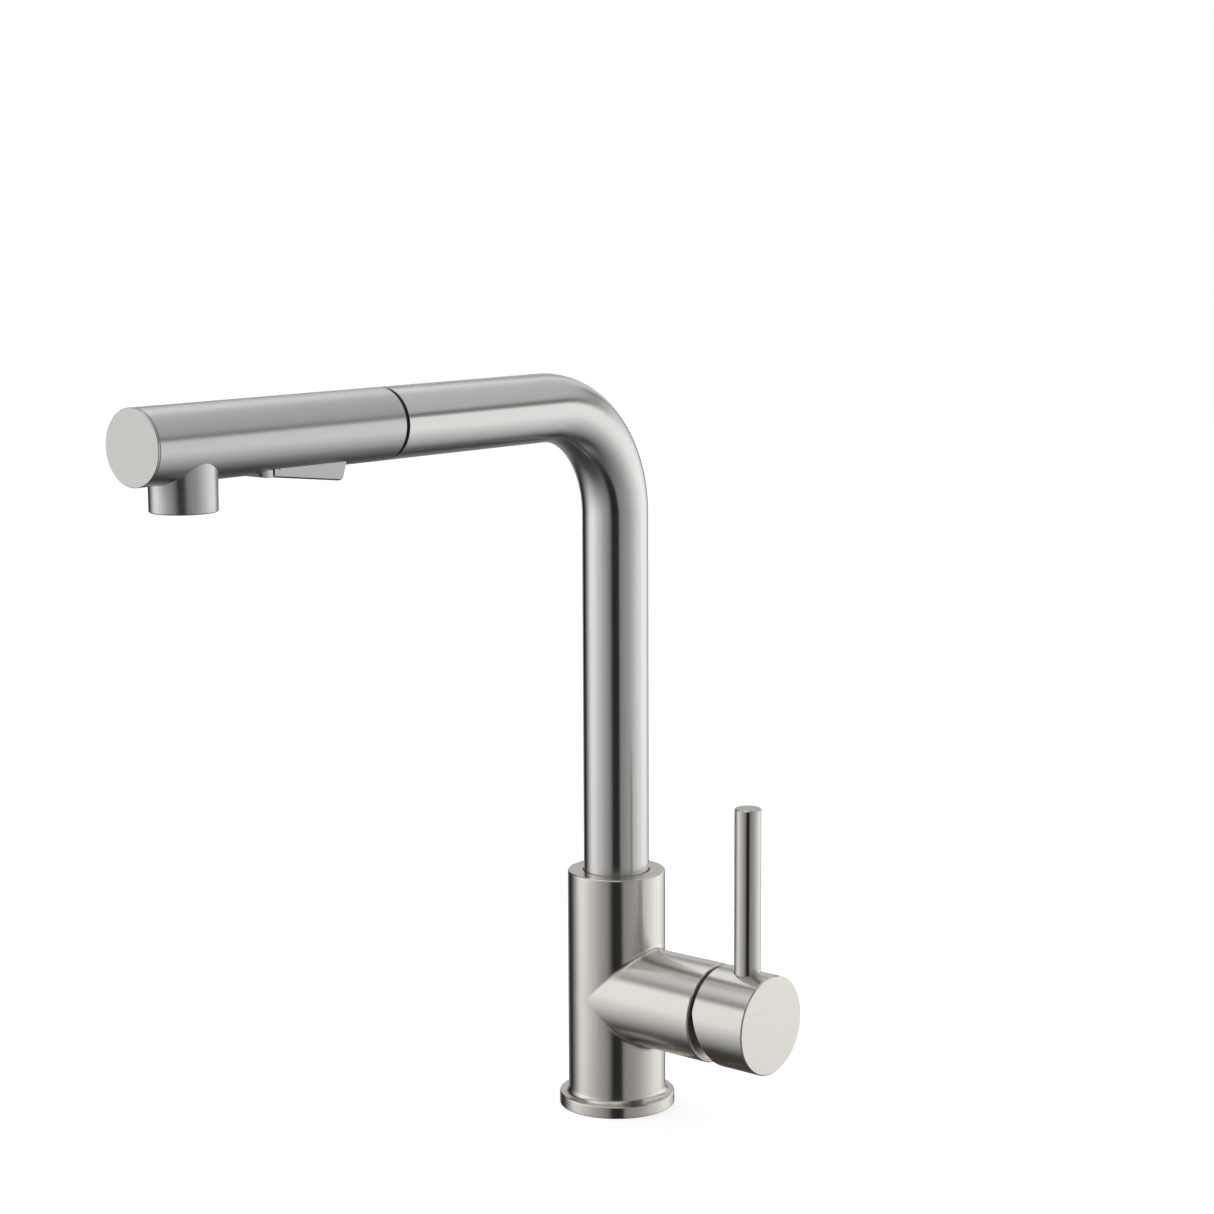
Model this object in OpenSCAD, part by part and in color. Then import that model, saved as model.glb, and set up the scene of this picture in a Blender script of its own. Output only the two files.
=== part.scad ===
// Pull down kitchen faucet, deck mounted, single side lever. Millimetres.
// Z is up from the deck, the spout points along -Y and the valve lies along +X.
// The origin is the centre of the flange's underside, on the body's axis.

/* [Body] */
// Outer diameter of the upright body
body_d = 45; // [44:0.5:60]
// Height of the body above the deck
body_h = 111; // [104:1:160]
// Diameter of the foot flange, which covers the hole in the deck
flange_d = 53.5; // [53:0.5:70]
// Thickness of the foot flange
flange_t = 5.5; // [4.5:0.5:9]
// Radius of the hollow between the flange and the body
foot_fillet = 2.5; // [1:0.5:4]
// Radius of the blend between the body and the valve housing
saddle_fillet = 2.2; // [1:0.1:5]

/* [Spout] */
// Outer diameter of the spout tube
tube_d = 30; // [26:1:36]
// Wall of the spout tube
tube_wall = 1.5; // [1:0.1:2]
// Height of the spout's level axis above the deck
spout_h = 327; // [260:1:420]
// Radius of the bend, on the tube's axis
bend_r = 51; // [40:1:70]
// Distance from the body's axis to the tube's open end
tube_end = 148; // [110:1:200]
// How far the spout turns each way from straight ahead
swivel_deg = 120; // [30:5:150]

/* [Spray head] */
// Length of the head behind the open end of the tube, gap included
head_len = 133; // [126:1:170]
// Wall of the head's shell
head_wall = 1.8; // [1.2:0.1:2.2]
// Dark docking gap between the tube and the head
dock_gap = 2; // [1:0.1:4]
// Outer diameter of the outlet below the head
nozzle_d = 26.5; // [22:0.5:28]
// Distance from the outlet's axis to the head's front face
nozzle_back = 24.5; // [18:0.5:30]
// Depth of the outlet's rim below the head's axis
nozzle_drop = 26; // [22:0.5:40]
// Number of spray nubs in the outer ring
nub_count = 18; // [8:1:22]

/* [Trigger] */
// Length of the spray trigger along the head
trigger_len = 39; // [32:1:44]
// Width of the trigger
trigger_w = 15.2; // [12:0.2:16]
// Distance from the outlet's axis to the trigger's hinged end
trigger_back = 43.7; // [36:0.1:48]
// How far the trigger's free end stands below the head
trigger_proud = 5.1; // [4:0.1:8]
// How far the trigger turns when pressed
trigger_deg = 6; // [2:0.5:7]

/* [Valve] */
// Height of the valve's axis above the deck
valve_z = 53.5; // [48:0.5:60]
// Nominal diameter of the ceramic cartridge
cartridge_d = 35; // [32:0.5:40]
// Wall of the housing round the cartridge nut
housing_wall = 3.5; // [2.5:0.1:5]
// How far the housing reaches out of the body
housing_out = 36.5; // [36:0.5:50]

/* [Handle] */
// Length of the handle cap
cap_len = 27.8; // [27:0.1:40]
// Running gap between the housing and the handle cap
cap_gap = 2.2; // [1:0.1:3]
// How far the handle tilts to full flow
tilt_deg = 20; // [10:1:22]
// How far the handle turns each way between hot and cold
turn_deg = 45; // [30:1:60]
// Diameter of the lever rod
lever_d = 12; // [9:0.5:15]
// Height of the lever's tip above the valve's axis
lever_len = 97; // [60:0.5:140]
// Distance from the cap's face back to the lever's axis
lever_back = 13.5; // [11:0.5:16]

/* [Hose and mounting] */
// Outer diameter of the pull out hose
hose_d = 11; // [9:0.5:12]
// Tapping radius of the supply ports
port_r = 3.5; // [3:0.1:4]
// Depth of thread in each supply port
port_depth = 10; // [8:0.5:14]
// Outer diameter of the threaded shank
shank_d = 34; // [33:0.1:35]
// Length of the shank below the deck's top face
shank_len = 58; // [50:1:90]
// Thickness of the deck that the clamp is drawn on
deck_t = 30; // [10:1:38]

/* [Fits] */
// Radial clearance of a turning shaft
run = 0.05; // [0.02:0.01:0.1]
// Radial clearance of a thread or a pushed-in piece
seat = 0.05; // [0.02:0.01:0.1]
// Gap between pieces that move past each other
free = 0.3; // [0.3:0.05:0.5]

/* [Hidden] */
$fn = 96;

// Colours
nickel = [0.72, 0.71, 0.69];
dark_rubber = [0.12, 0.12, 0.12];
black_plastic = [0.16, 0.16, 0.17];
grey_plastic = [0.55, 0.56, 0.58];
white_plastic = [0.9, 0.9, 0.88];
brass = [0.78, 0.62, 0.35];
steel = [0.62, 0.63, 0.65];
ceramic = [0.94, 0.92, 0.88];

// Body and neck
body_r = body_d / 2;
tube_r = tube_d / 2;
bush_t = 3;
bore_r = tube_r + bush_t;
flange_r = flange_d / 2;
edge_round = 0.8;
lip_t = 3;
lip_gap = 0.5;
foot_t = 10;
cart_r = cartridge_d / 2;
thread_r = cart_r + 1.5;
housing_r = thread_r + housing_wall;
housing_end = body_r + housing_out;
rim_depth = 1;
rim_r = housing_r - 1.3;

// Neck: circlip, lower bush, collar, upper bush and lip from below upwards
neck_z0 = valve_z + cart_r + 2.2;
neck_z1 = body_h - lip_t;
clip_t = 1.5;
clip_groove = 0.8;
collar_h = 10;
bush_h = (neck_z1 - neck_z0 - clip_t - collar_h - 2 * free) / 2;
lower_z0 = neck_z0 + clip_t;
collar_z0 = lower_z0 + bush_h + free;
upper_z0 = collar_z0 + collar_h + free;
collar_r = bore_r - free;
stop_z = collar_z0 + collar_h / 2;
stop_r = 2;
stop_tip_r = 1.6;
stop_reach = tube_r + 1.4;
groove_r = stop_reach - free;
stop_angle = asin((stop_tip_r + free) / (stop_reach + 0.4));
ring_wire = 1.9;

// Hose and under-deck pieces
hose_r = hose_d / 2;
hose_way = hose_r + 0.5;
shank_r = shank_d / 2;
shank_bore = shank_r - 2.5;
washer_t = 3;
plate_t = 2;
nut_h = 10;
gasket_r0 = shank_r + 2.6;
gasket_r1 = flange_r - 2.2;
gasket_t = 2;
fitting_r = 8;
fitting_len = 16;
spigot_len = 7;

// Valve: positions along X from the cartridge's seat
seat_x = housing_end - 38;
base_t = 5.2;
disc_t = 4;
disc_gap = 0.05;
plate_x = seat_x + base_t;
slide_x = plate_x + disc_t + disc_gap;
slide_t = 3.5;
driver_x = slide_x + slide_t;
driver_t = 4.8;
ball_r = 2.8;
ball_x = driver_x + 0.5 + ball_r;
shell_x = seat_x + 24;
neck_x = seat_x + 30;
pivot_x = housing_end - 9;
ball_arm = pivot_x - ball_x;
stem_neck_r = 2.2;
shell_bore = cart_r - 2.7;
guide_neck_r = 11;
disc_travel = ball_arm * sin(tilt_deg);
disc_r = shell_bore - disc_travel / 2 - 0.9;
disc_z = -disc_travel / 2;
stem_w = 8;
pin_r = 1.5;
pin_len = 20;
stem_x0 = pivot_x - 6;
guide_x0 = driver_x + driver_t + 0.4;
guide_x1 = pivot_x + pin_r + 2;
// the slot in the guide leaves room for the stem's lower and upper edges at full tilt
slot_low = stem_w / 2 / cos(tilt_deg) + (guide_x1 - pivot_x) * tan(tilt_deg) + free;
slot_high = free + max(ball_arm * sin(tilt_deg) + ball_r,
  (pivot_x - stem_x0) * sin(tilt_deg) + stem_w / 2 * cos(tilt_deg));
manifold_z0 = 26;
port_ring = hose_way + 1 + port_r;
port_angles = [-60, 60, 0];
port_rise = [-3.5, -3.5, 7.5];
drill_r = 2.5;
dome_r = cart_r;
dome_wall = 2;
dome_hole = 12;

// Handle
cap_x0 = housing_end + cap_gap;
cap_x1 = cap_x0 + cap_len;
cap_r = housing_r;
cap_wall = 3.5;
cap_kink = 6;
cap_cut = tilt_deg - 4.5;
cavity_x1 = cap_x1 - 7;
lever_x = cap_x1 - lever_back;
lever_r = lever_d / 2;
lever_z1 = valve_z + lever_len;
hub_r = 8.5;
hub_x0 = pivot_x + dome_r + 0.6;
stem_x1 = cavity_x1 - 3;
stud_r = 4;
screw_r = 2.5;
plug_r = 3.1;

// Spout
bend_z = spout_h - bend_r;
tube_z0 = lower_z0 + 0.5;

// Head, as distances along -Y from the body's axis
head_y0 = tube_end + dock_gap;
head_y1 = tube_end + head_len;
end_cap_t = 0.8;
end_cap_chamfer = 0.2;
end_seam = 0.35;
end_seam_depth = 0.5;
shell_y1 = head_y1 - end_cap_t - end_seam;
head_bore = tube_r - head_wall;
nozzle_y = head_y1 - nozzle_back;
nozzle_r = nozzle_d / 2;
nozzle_wall = 1.7;
nozzle_bore = nozzle_r - nozzle_wall;
nozzle_z = spout_h - nozzle_drop;
rim_round = 0.4;
bush_len = 20;
dock_bore = 11;
spigot_r = dock_bore - free;
spigot_wall = 1.3;
spigot_y = head_y0 - 13.5;
collar_y1 = head_y0 + 16;
nipple_r = hose_r + 1;
nipple_y = head_y0 - 9;
nut_r = spigot_r - spigot_wall - 0.3;
nut_y0 = head_y0 - 20;
nut_y1 = head_y0 - 0.6;
washer_y = nipple_y - 1.6;
valve_r = 5;
engine_y0 = collar_y1 + 0.4;
engine_y1 = nozzle_y - nozzle_bore - 1;
face_t = 2.5;
face_up = 0.6;
mat_t = 1;
face_z = nozzle_z + face_up;
mat_z = face_z + face_t;
housing_z = mat_z + mat_t;
aerator_r = 6;
nub_ring = (nozzle_bore + aerator_r) / 2;
nub_r = 0.75;

// Trigger, hinged at its front end
hinge_y = nozzle_y - trigger_back;
trigger_y1 = hinge_y + 3.4;
trigger_y0 = trigger_y1 - trigger_len;
hinge_z = spout_h - tube_r + 3;
trigger_top = hinge_z + 2;
trigger_tail = spout_h - tube_r - trigger_proud;
trigger_front = spout_h - tube_r - 1;
trigger_rake = 1.6;
trigger_heel = 2.6;
trigger_ease = 0.9;
underside_slope = atan((trigger_front - trigger_tail) / (trigger_len - trigger_rake - trigger_heel));
slot_w = trigger_w + 0.8;
slot_y0 = trigger_y0 - 2;
slot_y1 = trigger_y1 + 1;
lift = trigger_len * sin(trigger_deg) + 1;
pocket_z = trigger_top + lift;
spring_y = trigger_y0 + 8;
spring_r = 2.4;
spring_wire = 0.5;
spring_turns = 4;
plunger_y = hinge_y - 16;
plunger_r = 2;
nose_len = 6.6;
nose_round = 5;

// ---------- shared shapes ----------

// A round bar along each axis; along -Y the ends are distances from the body's axis
module bar_z(r, z0, z1) { translate([0, 0, z0]) cylinder(r = r, h = z1 - z0); }
module bar_x(r, x0, x1) { translate([x0, 0, 0]) rotate([0, 90, 0]) cylinder(r = r, h = x1 - x0); }
module bar_y(r, y0, y1) { translate([0, -y0, 0]) rotate([90, 0, 0]) cylinder(r = r, h = y1 - y0); }

module cone_z(r0, r1, z0, z1) { translate([0, 0, z0]) cylinder(r1 = r0, r2 = r1, h = z1 - z0); }
module cone_x(r0, r1, x0, x1) {
  translate([x0, 0, 0]) rotate([0, 90, 0]) cylinder(r1 = r0, r2 = r1, h = x1 - x0);
}
module cone_y(r0, r1, y0, y1) {
  translate([0, -y0, 0]) rotate([90, 0, 0]) cylinder(r1 = r0, r2 = r1, h = y1 - y0);
}

module ring_z(r_out, r_in, z0, z1) {
  difference() { bar_z(r_out, z0, z1); bar_z(r_in, z0 - 1, z1 + 1); }
}
module ring_x(r_out, r_in, x0, x1) {
  difference() { bar_x(r_out, x0, x1); bar_x(r_in, x0 - 1, x1 + 1); }
}
module ring_y(r_out, r_in, y0, y1) {
  difference() { bar_y(r_out, y0, y1); bar_y(r_in, y0 - 1, y1 + 1); }
}

module at_valve() { translate([0, 0, valve_z]) children(); }
module at_spout() { translate([0, 0, spout_h]) children(); }
module at_nozzle() { translate([0, -nozzle_y, 0]) children(); }

// Points of a quarter turn about c, from angle a to angle b
function arc_points(c, r, a, b, n = 6) =
  [for (i = [0:n]) c + r * [cos(a + (b - a) * i / n), sin(a + (b - a) * i / n)]];

function unit(v) = v / norm(v);

// ---------- body ----------

// Half section of the flange and the upright, from the axis outwards
module body_section() {
  polygon(concat(
    [[0, 0], [flange_r, 0]],
    arc_points([flange_r - edge_round, flange_t - edge_round], edge_round, 0, 90),
    arc_points([body_r + foot_fillet, flange_t + foot_fillet], foot_fillet, 270, 180),
    arc_points([body_r - edge_round, body_h - edge_round], edge_round, 0, 90),
    [[0, body_h]]));
}

// The blend is the track of a ball that rolls along the crossing of body and housing.
// Its centre keeps one distance from each axis, and the fillet faces are its arcs.
blend_span = 72;
blend_rings = 36;
blend_steps = 4;
function ball_centre(a) =
  let (u = body_r + saddle_fillet, v = housing_r + saddle_fillet, y = min(u, v) * sin(a))
    [sqrt(u * u - y * y), y, sqrt(v * v - y * y)];
function to_body(c) = -unit([c.x, c.y, 0]);
function to_housing(c) = -unit([0, c.y, c.z]);
function between(a, b, s) =
  let (w = acos(a * b)) (sin((1 - s) * w) * a + sin(s * w) * b) / sin(w);

module saddle_blend() {
  columns = blend_steps + 2;
  rings = [for (i = [0:blend_rings])
    let (c = ball_centre(-blend_span + 2 * blend_span * i / blend_rings),
         a = to_body(c), b = to_housing(c), w = acos(a * b), lap = 3 / w)
      concat(
        [for (j = [0:blend_steps])
          c + saddle_fillet * between(a, b, -lap + (1 + 2 * lap) * j / blend_steps)],
        [c + unit(a + b) * (saddle_fillet / cos(w / 2) + 2)])];
  sides = [for (i = [0:blend_rings - 1], j = [0:columns - 1])
    let (p = i * columns + j, q = i * columns + (j + 1) % columns)
      each [[p, q, q + columns], [p, q + columns, p + columns]]];
  ends = [
    [for (j = [columns - 1:-1:0]) j],
    [for (j = [0:columns - 1]) blend_rings * columns + j]];
  polyhedron(points = [for (r = rings) each r], faces = concat(sides, ends));
}

module body() color(nickel) difference() {
  union() {
    rotate_extrude() body_section();
    at_valve() {
      bar_x(housing_r, 0, housing_end - 0.5);
      cone_x(housing_r, housing_r - 0.5, housing_end - 0.5, housing_end);
      saddle_blend();
      mirror([0, 0, 1]) saddle_blend();
    }
  }
  // neck, lip and shank thread
  bar_z(bore_r, foot_t, neck_z1);
  bar_z(tube_r + lip_gap, neck_z1 - 1, body_h + 1);
  bar_z(shank_r + seat, -1, foot_t + 1);
  ring_z(gasket_r1 + seat, gasket_r0 - seat, -1, gasket_t);
  bar_z(bore_r + clip_groove, neck_z0, lower_z0);
  // cartridge bore, nut thread and the rebate for the dome ring
  at_valve() {
    bar_x(cart_r, 0, housing_end + 1);
    bar_x(thread_r, shell_x, housing_end + 1);
    bar_x(rim_r, housing_end - rim_depth, housing_end + 1);
  }
  translate([0, 0, stop_z]) bar_y(stop_r, -body_r - 1, -bore_r + 1);
}

// ---------- under the deck ----------

module deck_gasket() color(dark_rubber) ring_z(gasket_r1, gasket_r0, 0, gasket_t);

module mounting_shank() color(brass) difference() {
  union() {
    bar_z(shank_r, -shank_len + 1, foot_t);
    cone_z(shank_r - 1, shank_r, -shank_len, -shank_len + 1);
  }
  bar_z(shank_bore, -shank_len - 1, foot_t + 1);
}

module rubber_washer() color(dark_rubber)
  ring_z(shank_r + 7, shank_r + 0.4, -deck_t - washer_t, -deck_t);

module steel_washer() color(steel)
  ring_z(shank_r + 7.5, shank_r + 0.4, -deck_t - washer_t - plate_t, -deck_t - washer_t);

module mounting_nut() color(brass) {
  nut_top = -deck_t - washer_t - plate_t;
  difference() {
    intersection() {
      translate([0, 0, nut_top - nut_h]) cylinder(r = shank_r + 7.5, h = nut_h, $fn = 6);
      union() {
        cone_z(shank_r + 5.5, shank_r + 7.2, nut_top - nut_h, nut_top - nut_h + 2);
        bar_z(shank_r + 7.2, nut_top - nut_h + 2, nut_top);
      }
    }
    bar_z(shank_r + seat, nut_top - nut_h - 1, nut_top + 1);
  }
}

// ---------- valve inside the body ----------

module port_way(k) {
  a = port_angles[k];
  x = port_ring * cos(a);
  y = port_ring * sin(a);
  top = valve_z + port_rise[k];
  translate([x, y, 0]) {
    bar_z(port_r, manifold_z0 - 1, manifold_z0 + port_depth);
    bar_z(drill_r, manifold_z0, top);
  }
  translate([0, y, top]) {
    bar_x(drill_r, x, seat_x + 1);
    translate([x, 0, 0]) sphere(r = drill_r);
  }
}

module valve_manifold() color(brass) difference() {
  union() {
    intersection() {
      bar_z(bore_r - seat, manifold_z0, neck_z0 - 1.2);
      translate([-3, -bore_r, 0]) cube([bore_r + 4, 2 * bore_r, neck_z0]);
    }
    at_valve() bar_x(cart_r - seat, 7, seat_x);
  }
  bar_z(hose_way, manifold_z0 - 1, neck_z0);
  for (k = [0:2]) port_way(k);
}

module at_ports() {
  for (k = [0:2]) translate([0, port_ring * sin(port_angles[k]), port_rise[k]]) children();
}

module cartridge_base() color(grey_plastic) at_valve() difference() {
  bar_x(cart_r - 0.3, seat_x, plate_x);
  at_ports() {
    bar_x(drill_r, seat_x - 1, plate_x + 1);
    bar_x(drill_r + 1.3 + seat, seat_x - 1, seat_x + 1.5);
  }
}

module port_seals() color(dark_rubber)
  at_valve() at_ports() ring_x(drill_r + 1.3, drill_r, seat_x, seat_x + 1.4);

module fixed_disc() color(ceramic) at_valve() difference() {
  bar_x(shell_bore - seat, plate_x, plate_x + disc_t);
  at_ports() bar_x(drill_r, plate_x - 1, plate_x + disc_t + 1);
}

module cartridge_shell() color(grey_plastic) at_valve() difference() {
  union() {
    bar_x(cart_r - 0.3, plate_x, shell_x);
    bar_x(guide_neck_r + 2.2, shell_x - 1, neck_x);
  }
  bar_x(shell_bore, plate_x - 1, shell_x - 1.5);
  bar_x(guide_neck_r, shell_x - 2, neck_x + 1);
}

module cartridge_nut() color(brass) at_valve() difference() {
  bar_x(thread_r - seat, shell_x, housing_end - 5);
  bar_x(guide_neck_r + 2.5, shell_x - 1, housing_end);
  // six wrench notches in the open face
  for (k = [0:5]) rotate([60 * k, 0, 0])
    translate([housing_end - 8, guide_neck_r, -2.5]) cube([5, thread_r, 5]);
}

// Half section of the dome ring: threaded skirt, flush rim and a dome about the lever's pivot
module dome_section() {
  open_out = asin(dome_hole / dome_r);
  open_in = asin(dome_hole / (dome_r - dome_wall));
  rim_angle = acos((housing_end - pivot_x) / dome_r);
  polygon(concat(
    [[thread_r - 3, housing_end - 4.8], [thread_r - seat, housing_end - 4.8],
     [thread_r - seat, housing_end - rim_depth], [rim_r - 0.15, housing_end - rim_depth],
     [rim_r - 0.15, housing_end]],
    arc_points([0, pivot_x], dome_r, 90 - rim_angle, 90 - open_out, 8),
    arc_points([0, pivot_x], dome_r - dome_wall, 90 - open_in, 90 - rim_angle - 4, 8),
    [[thread_r - 3, housing_end - 2.5]]));
}

module dome_ring() color(nickel) at_valve() rotate([0, 90, 0]) rotate_extrude() dome_section();

// ---------- swivel in the body's neck ----------

module upper_bush() color(white_plastic) difference() {
  ring_z(bore_r - seat, tube_r + run, upper_z0, neck_z1);
  translate([0, 0, upper_z0 + bush_h / 2]) bar_z(tube_r + run + ring_wire, -1.05, 1.05);
}

module friction_ring() color(dark_rubber) translate([0, 0, upper_z0 + bush_h / 2])
  rotate_extrude() translate([tube_r + run + ring_wire / 2, 0]) circle(d = ring_wire - 0.02);

module lower_bush() color(white_plastic)
  ring_z(bore_r - seat, tube_r + run, lower_z0, lower_z0 + bush_h);

module bush_circlip() color(steel) difference() {
  ring_z(bore_r + clip_groove - 0.1, bore_r - 2, neck_z0 + 0.1, lower_z0);
  // the open mouth of the clip, on the side away from the valve
  translate([-bore_r - 3, -4, neck_z0 - 1]) cube([6, 8, clip_t + 2]);
}

module stop_screw() color(steel) translate([0, 0, stop_z]) difference() {
  union() {
    bar_y(stop_r - seat, -body_r + 0.8, -bore_r - 0.4);
    bar_y(stop_tip_r, -bore_r - 1, -stop_reach);
  }
  // hexagon socket
  translate([0, body_r, 0]) rotate([90, 0, 0]) cylinder(r = 1.15, h = 3, $fn = 6);
}

// ---------- spout ----------

// Round bar along the spout's axis: upright, bend and level reach
module spout_route(r, z0, y1) {
  bar_z(r, z0, bend_z);
  translate([0, -bend_r, bend_z]) rotate([0, 0, 90]) rotate([90, 0, 0])
    rotate_extrude(angle = 90) translate([bend_r, 0]) circle(r = r);
  at_spout() bar_y(r, bend_r, y1);
}

module spout_tube() color(nickel) difference() {
  spout_route(tube_r, tube_z0, tube_end);
  spout_route(tube_r - tube_wall, tube_z0 - 1, tube_end + 1);
}

// Brazed collar with the groove that the stop screw runs in
module spout_collar() color(brass) difference() {
  ring_z(collar_r, tube_r + seat, collar_z0, collar_z0 + collar_h);
  rotate([0, 0, 90 - swivel_deg - stop_angle])
    rotate_extrude(angle = 2 * (swivel_deg + stop_angle))
      translate([groove_r, stop_z - stop_tip_r - free]) square([4, 2 * (stop_tip_r + free)]);
}

module dock_bush() color(black_plastic) at_spout() difference() {
  union() {
    bar_y(tube_r - tube_wall - seat, tube_end - bush_len, tube_end);
    bar_y(tube_r - 0.8, tube_end, head_y0 - free);
  }
  bar_y(dock_bore, tube_end - bush_len - 1, head_y0 + 1);
  cone_y(dock_bore, dock_bore + 1, head_y0 - free - 1, head_y0 - free + 0.001);
}

module pull_out_hose() color([0.3, 0.3, 0.31])
  spout_route(hose_r, -shank_len - 6, nut_y0 - free);

module hose_fitting() color(brass) {
  z1 = -shank_len - 6;
  bar_z(fitting_r - 1.5, z1 - 4, z1);
  translate([0, 0, z1 - fitting_len + spigot_len]) cylinder(r = fitting_r, h = 5, $fn = 6);
  difference() {
    bar_z(fitting_r - 2, z1 - fitting_len, z1 - fitting_len + spigot_len);
    bar_z(3, z1 - fitting_len - 1, z1 - fitting_len + spigot_len);
  }
}

// ---------- spray head ----------

module nozzle_outer() {
  at_nozzle() {
    cone_z(nozzle_r - rim_round, nozzle_r, nozzle_z, nozzle_z + rim_round);
    bar_z(nozzle_r, nozzle_z + rim_round, spout_h);
  }
}

// Fixed nose in front of the trigger: flush with its flanks, rounded in plan and easing into the tube
module trigger_nose() {
  low = trigger_front + 0.1;
  high = spout_h - tube_r + 4;
  front = -slot_y1 - nose_len;
  round_x = trigger_w / 2 - nose_round;
  intersection() {
    translate([-trigger_w / 2, 0, 0]) rotate([90, 0, 90]) linear_extrude(trigger_w)
      polygon(concat(
        [[-slot_y1, high], [-slot_y1, low]],
        [for (i = [0:6]) [-slot_y1 - nose_len * (0.3 + 0.7 * i / 6),
          low + (spout_h - tube_r + 0.3 - low) * pow(i / 6, 2)]],
        [[front, high]]));
    translate([0, 0, low - 1]) linear_extrude(high - low + 2)
      polygon(concat(
        [[trigger_w / 2, -slot_y1], [-trigger_w / 2, -slot_y1]],
        arc_points([-round_x, front + nose_round], nose_round, 180, 270, 12),
        arc_points([round_x, front + nose_round], nose_round, 270, 360, 12)));
  }
}

module head_shell() color(nickel) difference() {
  union() {
    at_spout() bar_y(tube_r, head_y0, shell_y1);
    nozzle_outer();
    trigger_nose();
  }
  at_spout() bar_y(head_bore, head_y0 - 1, shell_y1 + 1);
  at_nozzle() bar_z(nozzle_bore, nozzle_z - 1, spout_h);
  translate([-slot_w / 2, -slot_y1, spout_h - tube_r - 3])
    cube([slot_w, slot_y1 - slot_y0, 9]);
}

module head_end_cap() color(nickel) at_spout() {
  cone_y(tube_r, tube_r - end_cap_chamfer, head_y1 - end_cap_chamfer, head_y1);
  bar_y(tube_r, head_y1 - end_cap_t, head_y1 - end_cap_chamfer);
  bar_y(tube_r - end_seam_depth, shell_y1, head_y1 - end_cap_t);
  ring_y(head_bore - seat, head_bore - 2, shell_y1 - 6, shell_y1);
}

// Rear fitting: docks in the spout and carries the hose's nipple
module dock_collar() color(black_plastic) at_spout() difference() {
  union() {
    bar_y(spigot_r, spigot_y, head_y0 + 0.4);
    bar_y(head_bore - seat, head_y0 + 0.4, collar_y1);
  }
  difference() {
    bar_y(spigot_r - spigot_wall, spigot_y - 1, head_y0 - 0.5);
    bar_y(nipple_r, nipple_y, head_y0);
  }
  bar_y(drill_r + 1, nipple_y - 1, head_y0 + 3);
  bar_y(valve_r + seat, head_y0 + 2, collar_y1 + 1);
}

module hose_nut() color(brass) at_spout() difference() {
  union() {
    cone_y(hose_r + 1.2, nut_r, nut_y0, nut_y0 + 4);
    bar_y(nut_r, nut_y0 + 4, nut_y1);
  }
  bar_y(drill_r + 1, nut_y0 - 1, nut_y1);
  bar_y(nipple_r + seat, washer_y, nut_y1 + 1);
}

module filter_washer() color(dark_rubber)
  at_spout() ring_y(nipple_r - 0.1, drill_r + 1, washer_y, nipple_y);

module check_valve() color(white_plastic) at_spout() difference() {
  bar_y(valve_r, head_y0 + 2, collar_y1);
  bar_y(valve_r - 1.4, head_y0 + 6, collar_y1 + 1);
  bar_y(1.6, head_y0, collar_y1);
}

// Waterway: a round insert, flat over the trigger, with the plunger's bore
module waterway_body() color(grey_plastic) difference() {
  at_spout() bar_y(head_bore - seat, engine_y0, engine_y1);
  translate([-tube_r, -slot_y1 - 1, spout_h - 2 * tube_r])
    cube([2 * tube_r, slot_y1 - slot_y0 + 2, pocket_z - spout_h + 2 * tube_r]);
  translate([0, 0, spout_h + 5]) bar_y(4, engine_y0 - 1, engine_y1 + 1);
  translate([0, -plunger_y, 0]) bar_z(plunger_r + run, pocket_z - 1, spout_h + 3);
}

module spray_housing() color(grey_plastic) difference() {
  union() {
    intersection() {
      at_nozzle() bar_z(nozzle_bore - seat, spout_h - 6, spout_h + tube_r);
      at_spout() bar_y(head_bore - seat, engine_y1, shell_y1);
    }
    at_nozzle() bar_z(nozzle_bore - seat, housing_z, spout_h - 6);
  }
  at_nozzle() bar_z(nozzle_bore - 2.5, housing_z - 1, housing_z + 5);
  at_nozzle() bar_z(4, housing_z, spout_h + 5);
  translate([0, 0, spout_h + 5]) bar_y(4, engine_y1 - 1, nozzle_y);
}

module at_nubs() {
  for (k = [0:nub_count - 1]) rotate([0, 0, 360 * k / nub_count])
    translate([nub_ring, 0, 0]) children();
}

module spray_mat() color(dark_rubber) at_nozzle() difference() {
  union() {
    ring_z(nozzle_bore - 0.2, aerator_r + 0.3, mat_z, housing_z);
    at_nubs() bar_z(nub_r, face_z - 0.5, mat_z + 0.5);
  }
  at_nubs() bar_z(0.35, face_z - 1, housing_z + 1);
}

module spray_face() color(black_plastic) at_nozzle() difference() {
  bar_z(nozzle_bore - seat, face_z, mat_z);
  bar_z(aerator_r + seat, face_z - 1, mat_z + 1);
  at_nubs() bar_z(nub_r + seat, face_z - 1, mat_z + 1);
}

module aerator_insert() color(grey_plastic) at_nozzle() difference() {
  bar_z(aerator_r, face_z + 0.2, housing_z);
  bar_z(aerator_r - 1, mat_z, housing_z + 1);
  intersection() {
    bar_z(aerator_r - 1, face_z - 1, housing_z);
    for (i = [-2:2], j = [-2:2]) translate([1.9 * i - 0.7, 1.9 * j - 0.7, face_z - 1])
      cube([1.4, 1.4, face_t + 2]);
  }
}

module trigger_pin() color(steel) translate([0, -hinge_y, hinge_z])
  bar_x(1.25, -trigger_w / 2 - 0.35, trigger_w / 2 + 0.35);

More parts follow.
